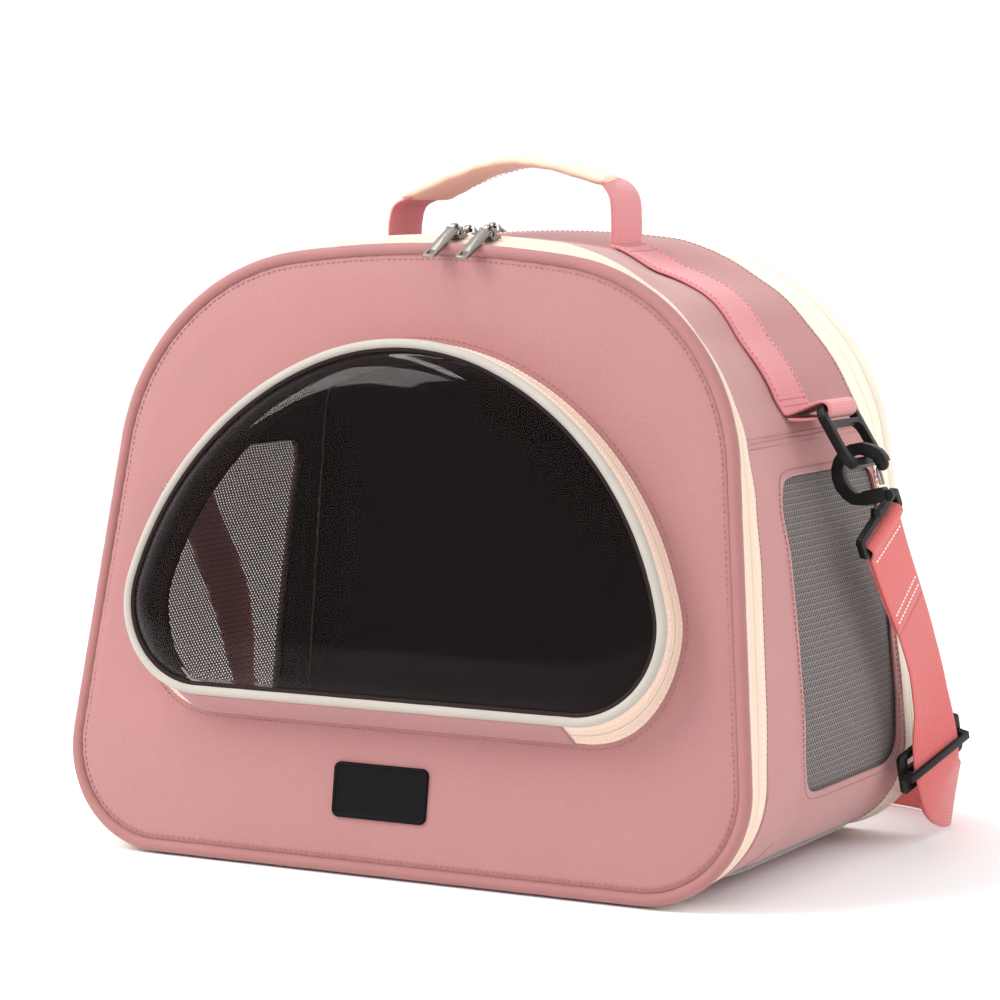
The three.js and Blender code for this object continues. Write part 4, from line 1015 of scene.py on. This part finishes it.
def add_window():
    """The bubble window: its zip, hinge cloth, piping, facings and pane."""
    add_window_zip()
    hinge = around_window(0.2, np.linspace(1.6, 21.5, 14), *STRIP_SPAN)
    strip = make_piece("window_hinge_cloth", [hinge], "cloth", ["window_hinge_strip"],
                       body="blend", thick=1.1)
    start = Vector(on_face(False, 0, 2.0, WINDOW_SILL)) * MM
    end = Vector(on_face(False, 0, 8.0, WINDOW_SILL)) * MM
    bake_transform(strip)
    piping_ring("window_edge_piping", lid_line, TRIM_RADIUS, LID_SILL, False, WINDOW_OUT, "trim",
                ["window_piping"])
    for name, reach, body in (("lower", (2.3, 10.8), "front_door"), ("upper", (11.4, 21.5), "window_lid")):
        facing = around_window(2.4, np.linspace(*reach, 5), 0, window_line.total)
        make_piece(f"window_facing_{name}", [facing], "lining", body=body, thick=0.6)
    length = window_line.even(2.5)
    rim = [window_wall(length, out + 0 * length, inset)
           for inset, out in ((2.0, 2.6), (5.0, 2.6), (10.4, 2.6), (11.2, 1.6), (11.2, -3.6))]
    make_piece("window_rim_facing", [patch(rim, wrap_cols=True)], "lining", body="front_door",
               thick=0.6)
    add_pane()


def add_window_zip():
    """Both halves of the window's zip: the lower stays on the door, the upper lifts with the lid."""
    start, end = STRIP_SPAN[1], window_line.total + STRIP_SPAN[0]
    length = np.linspace(start, end, 2600)
    _, _, nx, ns = window_line.at(length[::3])
    normals = unit(face_way(False, nx, 0, ns))
    halves = (("lower", "front_door", "door", (1.6, 11.0), 10.55, 4.2, 0),
              ("upper", "window_lid", "lid", (11.2, 21.5), 11.75, 18.3, math.pi))
    for name, body, node, reach, teeth_out, seam_out, phase in halves:
        tape = around_window(0.8, np.linspace(*reach, 7), start, end)
        make_piece(f"window_tape_{name}", [tape], "tape", [f"window_zip_tape_{node}"], thick=1.0)
        line = window_wall(length, teeth_out, 1.0)
        teeth = coil_of(line, face_way(False, 0, 1, 0), length, 0.55, 0.25, phase)
        make_piece(f"window_teeth_{name}", [teeth], "coil", body=body)
        seam = stitches(window_wall(length[::3], seam_out, 0.25), normals, 3.0, 2.2, 0.2)
        sew(f"window_tape_stitches_{name}", [seam], body, "thread")


def add_pane():
    """The clear domed sheet and the dark border sewn round it."""
    count = 260
    edge_x, edge_s, nx, ns = lid_line.at(np.linspace(0, lid_line.total, count, endpoint=False))
    dome = [(6.2, 0), (7, 0), (9, 0.25), (12, 0.46), (17, 0.72), (22, 0.84), (29, 0.94), (36, 0.985), (43, 1)]
    rings = []
    for inset, rise in dome:
        rings.append((edge_x - nx * inset, edge_s - ns * inset, WINDOW_OUT + DOME * rise + 0 * nx))
    last_x, last_s, top = rings[-1]
    centre = 0.42 * LID["height"]
    rings += [(last_x * t, centre + (last_s - centre) * t, top) for t in (0.8, 0.6, 0.4, 0.25)]
    x, s, out = np.moveaxis(np.array(rings), 1, 0)
    t = np.linspace(0, 1, len(rings))[:, None]
    waves = noise_at(np.stack([x, s, 0 * x], axis=-1), 70.0, 5.0)
    out = out + 0.9 * waves * np.minimum(t * 4, 1) * smooth((0.9 - t) * 4)
    sheet = close_middle(patch(on_face(False, x, out, s + LID_SILL), x, s, wrap_cols=True), count)
    pane = make_piece("window_sheet", [sheet], "vinyl", ["window_pane"], thick=0.7)
    pane.visible_shadow = False
    border = [on_face(False, edge_x - nx * inset, out, edge_s - ns * inset + LID_SILL)
              for inset, out in ((4.9, 24.0), (5.9, 23.9), (7.2, 23.6))]
    make_piece("window_border", [patch(border, wrap_cols=True)], "border", body="window_lid",
               thick=0.8)


# ---- hard parts, softened at their edges

def softened(node, look, bevel, segments=2):
    """A copy of a CAD node with its flat faces merged and its edges rounded."""
    work = bmesh.new()
    work.from_mesh(frame["nodes"][node].data)
    bmesh.ops.remove_doubles(work, verts=work.verts, dist=1e-6)
    bmesh.ops.dissolve_limit(work, angle_limit=math.radians(1.5), verts=work.verts, edges=work.edges)
    mesh = bpy.data.meshes.new(node + "_rounded")
    work.to_mesh(mesh)
    work.free()
    piece = bpy.data.objects.new(node + "_rounded", mesh)
    bpy.context.scene.collection.objects.link(piece)
    rounding = piece.modifiers.new("rounding", "BEVEL")
    rounding.width = bevel * MM
    rounding.segments = segments
    rounding.limit_method = "ANGLE"
    rounding.angle_limit = math.radians(38)
    rounding.use_clamp_overlap = True
    apply_modifiers(piece)
    piece.data.materials.clear()
    piece.data.materials.append(LOOKS[look])
    count = len(piece.data.polygons)
    piece.data.polygons.foreach_set("use_smooth", [True] * count)
    piece.data.polygons.foreach_set("material_index", [0] * count)
    settle(piece, None, [node])


def add_hardware():
    """Sliders, pulls, rings, hooks and the adjuster, as rounded copies."""
    for which, ends in (("front", ("_left", "_right")), ("rear", ("_left", "_right")), ("window", ("",))):
        for end in ends:
            softened(f"{which}_zip_slider{end}", "nickel", 0.4)
            softened(f"{which}_zip_pull{end}", "nickel", 0.3)
    for side in ("left", "right"):
        softened(f"ring_{side}", "black", 1.1, 3)
        softened(f"hook_{side}", "black", 1.3, 3)
        softened(f"hook_eye_{side}", "black", 0.8)
        softened(f"hook_gate_{side}", "nickel", 0.1, 1)
    softened("strap_adjuster", "black", 0.6)
    add_hook_tips()


def add_hook_tips():
    """The ball on each hook's open end, which the gate's wires spring against."""
    rings = []
    for angle in np.linspace(0.05, math.pi - 0.05, 14):
        ring = round_profile(3.5 * math.sin(angle), 3.5 * math.sin(angle), 18)
        rings.append(np.column_stack([ring, np.full(18, 3.5 * math.cos(angle))]))
    ball = np.array(rings) + [219.6, WEB_MIDDLE, 220.2]
    for side, sign in SIDES:
        make_piece(f"hook_tip_{side}", [patch(mirror(ball, sign), wrap_cols=True, caps=True)], "black",
                   body=f"hook_{side}")


# ---- webbing, handle and strap

def bar_wrap():
    """The webbing's path, x and z, round the ring's bar and back to the wall, on the right."""
    start = wall(face_line.length_at(SEAM_HEIGHT + 14), WEB_MIDDLE, 0.7)
    foot = wall(face_line.length_at(SEAM_HEIGHT + 9), WEB_MIDDLE, 0.4)
    angle = np.radians([110, 75, 40, 5, -30, -65, -95])
    wrap = RING_BAR + 4.45 * np.column_stack([np.cos(angle), np.sin(angle)])
    return [(start[0] + 1.5, start[2] - 0.5), *wrap, (foot[0] + 6, foot[2] + 1), (foot[0] - 1, foot[2] + 1)]


def add_webbing():
    """The bands sewn down from the handle to each ring, and the loops that hold the rings."""
    columns = WEB_MIDDLE + np.linspace(-0.5, 0.5, 15) * WEB_WIDTH
    handle_foot = face_line.total / 2 - FACE["crown"] * math.asin(67.5 / FACE["crown"])
    lengths = np.linspace(handle_foot, face_line.length_at(SEAM_HEIGHT + 14), 70)
    band = wall(lengths[:, None], columns, 0.6)
    loop = np.array([[(x, y, z) for y in columns] for x, z in catmull(bar_wrap(), 6)])
    rows = np.concatenate([band, loop])
    tacks = [(lengths[k], WEB_MIDDLE + np.linspace(-17, 17, 20), 2.6, 2.0) for k in (2, 5, -3, -5)]
    tacks += [(lengths[3:-3], WEB_MIDDLE + offset, 3.2, 2.3) for offset in (-16.6, 16.6)]
    for name, sign in SIDES:
        band = patch(mirror(rows, sign))
        make_piece(f"webbing_band_{name}", [band], "webbing", [f"webbing_{name}"], thick=1.5)
        lines = []
        for length, y, step, size in tacks:
            points, normals = seam_line(length, y, -0.2)
            lines.append(stitches(mirror(points, sign), mirror(normals, sign), step, size))
        sew(f"webbing_stitches_{name}", lines, "shell")


# The handle's middle line, x and z, with its ends sunk into the arch.
HANDLE_LINE = [(-71, 334), (-70.5, 346), (-67.5, 355), (-56, 360.5), (-39, 368.5), (-16, 377), (4, 380.6),
               (30, 378), (50, 372.2), (61, 368), (66.5, 361), (68, 350), (68, 334)]
SLEEVE_ENDS = (-58.0, 60.0)


def add_handle():
    """The webbing loop, the padded sleeve on it and its two seams."""
    x, z = catmull(HANDLE_LINE, 10).T
    points = np.column_stack([x, np.full(len(x), WEB_MIDDLE), z])
    band = make_piece("handle_band", [sweep(points, (0, 1, 0), ribbon_profile())], "webbing",
                      ["handle_webbing"], body="blend")
    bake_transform(band)
    core = resample(points[(x > SLEEVE_ENDS[0]) & (x < SLEEVE_ENDS[1]) & (z > 356)], 1.6)
    share = np.linspace(0, 1, len(core))
    flare = np.minimum(np.minimum(share, 1 - share) * 16, 1) ** 0.4
    profiles = np.array([round_profile(20.2, 1.5 + 2.3 * amount, 40, 3.2) for amount in flare])
    side, up = frames_along(core, (0, 1, 0))
    rings = core[:, None] + profiles[..., :1] * side[:, None] + profiles[..., 1:] * up[:, None]
    lean = (rings[..., 1] - WEB_MIDDLE) / 20.6
    rings[..., 0] += lean * (np.where(share < 0.5, 5.0, -5.0) * np.abs(1 - 2 * share) ** 3)[:, None]
    rings[..., 2] += 0.5 * noise_at(rings, 11.0) + 0.5 * noise_at(rings * [1, 0.4, 0.4], 5.0)
    sleeve = make_piece("handle_pad", [patch(rings, wrap_cols=True, caps=True)], "sleeve",
                        ["handle_sleeve"])
    rows = [stitches((core + side * 17.5 - up * 3.4)[4:-4], -up[4:-4], 3.4),
            stitches((core - side * 17.9 + up * 3.0)[4:-4], up[4:-4], 3.4)]
    sew("handle_stitches", rows, "handle", "thread")


STRAP_LINE = [
    ((217.5, 21, 184), (0.12, 0.82, 0.56)), ((219, 38, 160), (0.08, 0.84, 0.54)),
    ((220.5, 56, 137), (0.04, 0.85, 0.53)), ((222, 73, 111), (0.04, 0.85, 0.53)),
    ((223.4, 84, 84), (0.12, 0.72, 0.68)), ((224, 93, 53), (0.28, 0.4, 0.87)),
    ((222.5, 107, 34), (0.3, 0.28, 0.91)), ((219, 130, 25), (0.2, 0.16, 0.97)),
    ((213, 155, 21.5), (0.1, 0.12, 0.99)), ((200, 182, 20.5), (0.05, 0.05, 1)),
    ((172, 204, 20.3), (0, 0.03, 1)), ((120, 217, 20.2), (0, 0.02, 1)),
    ((60, 222, 20.1), (0, 0.02, 1)), ((0, 223, 20), (0, 0.02, 1)),
]
SEWN_STOPS = 2
ADJUSTER_STOP = 5
PER_STOP = 10


def strap_frames():
    """Places, width directions and outward normals along the whole shoulder strap."""
    stops = STRAP_LINE + [((-x, y, z), (-a, b, c)) for (x, y, z), (a, b, c) in STRAP_LINE[-2::-1]]
    places = catmull([at for at, _ in stops], PER_STOP)
    at = np.arange(len(places)) / PER_STOP
    widths = np.array([width for _, width in stops], float)
    side = np.column_stack([np.interp(at, np.arange(len(stops)), widths[:, k]) for k in range(3)])
    side, _ = frames_along(places, side)
    return places, side, unit(np.cross(side, unit(np.gradient(places, axis=0))))


def strap_end(places, side, normal):
    """The webbing's path and width directions up one side, over the hook's eye and down the other."""
    angle = np.radians(np.linspace(0, 180, 11))[:, None]
    down = unit(places[1] - places[0])
    fold = places[0] + 3.9 * (normal[0] * np.cos(angle) - down * np.sin(angle))
    leg = slice(2, SEWN_STOPS * PER_STOP + 1)
    front, back = places[leg] + normal[leg] * 0.8, places[leg] - normal[leg] * 0.8
    path = np.vstack([front[::-1], fold, back])
    return path, np.vstack([side[leg][::-1], np.repeat(side[:1], 11, axis=0), side[leg]])


def add_strap():
    """The sewn ends round the hooks' eyes, the long run and the layer that doubles back."""
    places, side, normal = strap_frames()
    sewn = SEWN_STOPS * PER_STOP
    path, widths = strap_end(places, side, normal)
    for name, sign in SIDES:
        rows = [sweep(mirror(path, sign), mirror(widths, sign), ribbon_profile(1.3))]
        for along in (3, 16, 18):
            line = places[along] + side[along] * np.linspace(-16, 16, 14)[:, None] - normal[along] * 1.6
            outward = mirror(-normal[along], sign)[None]
            rows.append(stitches(mirror(line, sign), outward, 2.4, 1.9, 0.5, material=1))
        end = make_piece(f"strap_fold_{name}", rows, "strap thread", [f"strap_end_{name}"],
                         body="blend")
        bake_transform(end)
    for name, node, first, rise in (("strap_lower_layer", "strap_run", sewn, -0.8),
                                    ("strap_upper_layer", "strap_return", ADJUSTER_STOP * PER_STOP + 7, 0.8)):
        part = slice(first, len(places) - sewn)
        line = places[part] + normal[part] * rise
        layer = sweep(line, side[part], ribbon_profile(1.3), up=normal[part])
        make_piece(name, [layer], "strap", [node])


# ---- carried-over nodes, light and floor

def dress_frame():
    """Looks for the inner nodes that are carried over as they are."""
    for node in ("base_board", "top_board", "front_board", "rear_board"):
        frame["nodes"][node].data.materials[0] = LOOKS["board"]
    frame["nodes"]["base_lining"].data.materials[0] = LOOKS["lining"]


def area_light(name, place, target, size, power, color=(1, 1, 1)):
    data = bpy.data.lights.new(name, "AREA")
    data.shape = "RECTANGLE"
    data.size, data.size_y = size
    data.energy = power
    data.color = color
    light = bpy.data.objects.new(name, data)
    light.location = place
    light.rotation_euler = (Vector(target) - Vector(place)).to_track_quat("-Z", "Y").to_euler()
    bpy.context.scene.collection.objects.link(light)


def add_studio():
    """White surroundings, three soft lights and the floor."""
    world = bpy.data.worlds.new("studio")
    world.use_nodes = True
    world.node_tree.nodes["Background"].inputs["Color"].default_value = (1, 1, 1, 1)
    world.node_tree.nodes["Background"].inputs["Strength"].default_value = 1.1
    bpy.context.scene.world = world
    bpy.context.scene.view_settings.view_transform = "Standard"
    area_light("key", (-1.15, -1.25, 1.45), (-0.1, 0, 0.22), (1.0, 0.8), 24)
    area_light("strip", (-0.7, -0.35, 1.7), (0, -0.1, 0.25), (1.5, 0.14), 11)
    area_light("side", (2.2, -0.2, 1.4), (0, 0, 0.2), (1.2, 1.2), 9)
    mesh = bpy.data.meshes.new("studio_floor")
    far = 14.0
    mesh.from_pydata([(-far, -far, 0), (far, -far, 0), (far, far, 0), (-far, far, 0)], [], [(0, 1, 2, 3)])
    floor = bpy.data.objects.new("studio_floor", mesh)
    bpy.context.scene.collection.objects.link(floor)
    mesh.materials.append(paper_material())


add_sides()
add_arch()
add_wall_lining()
add_base()
add_face_zips()
add_doors()
add_label()
add_window()
add_hardware()
add_webbing()
add_handle()
add_strap()
dress_frame()
add_studio()
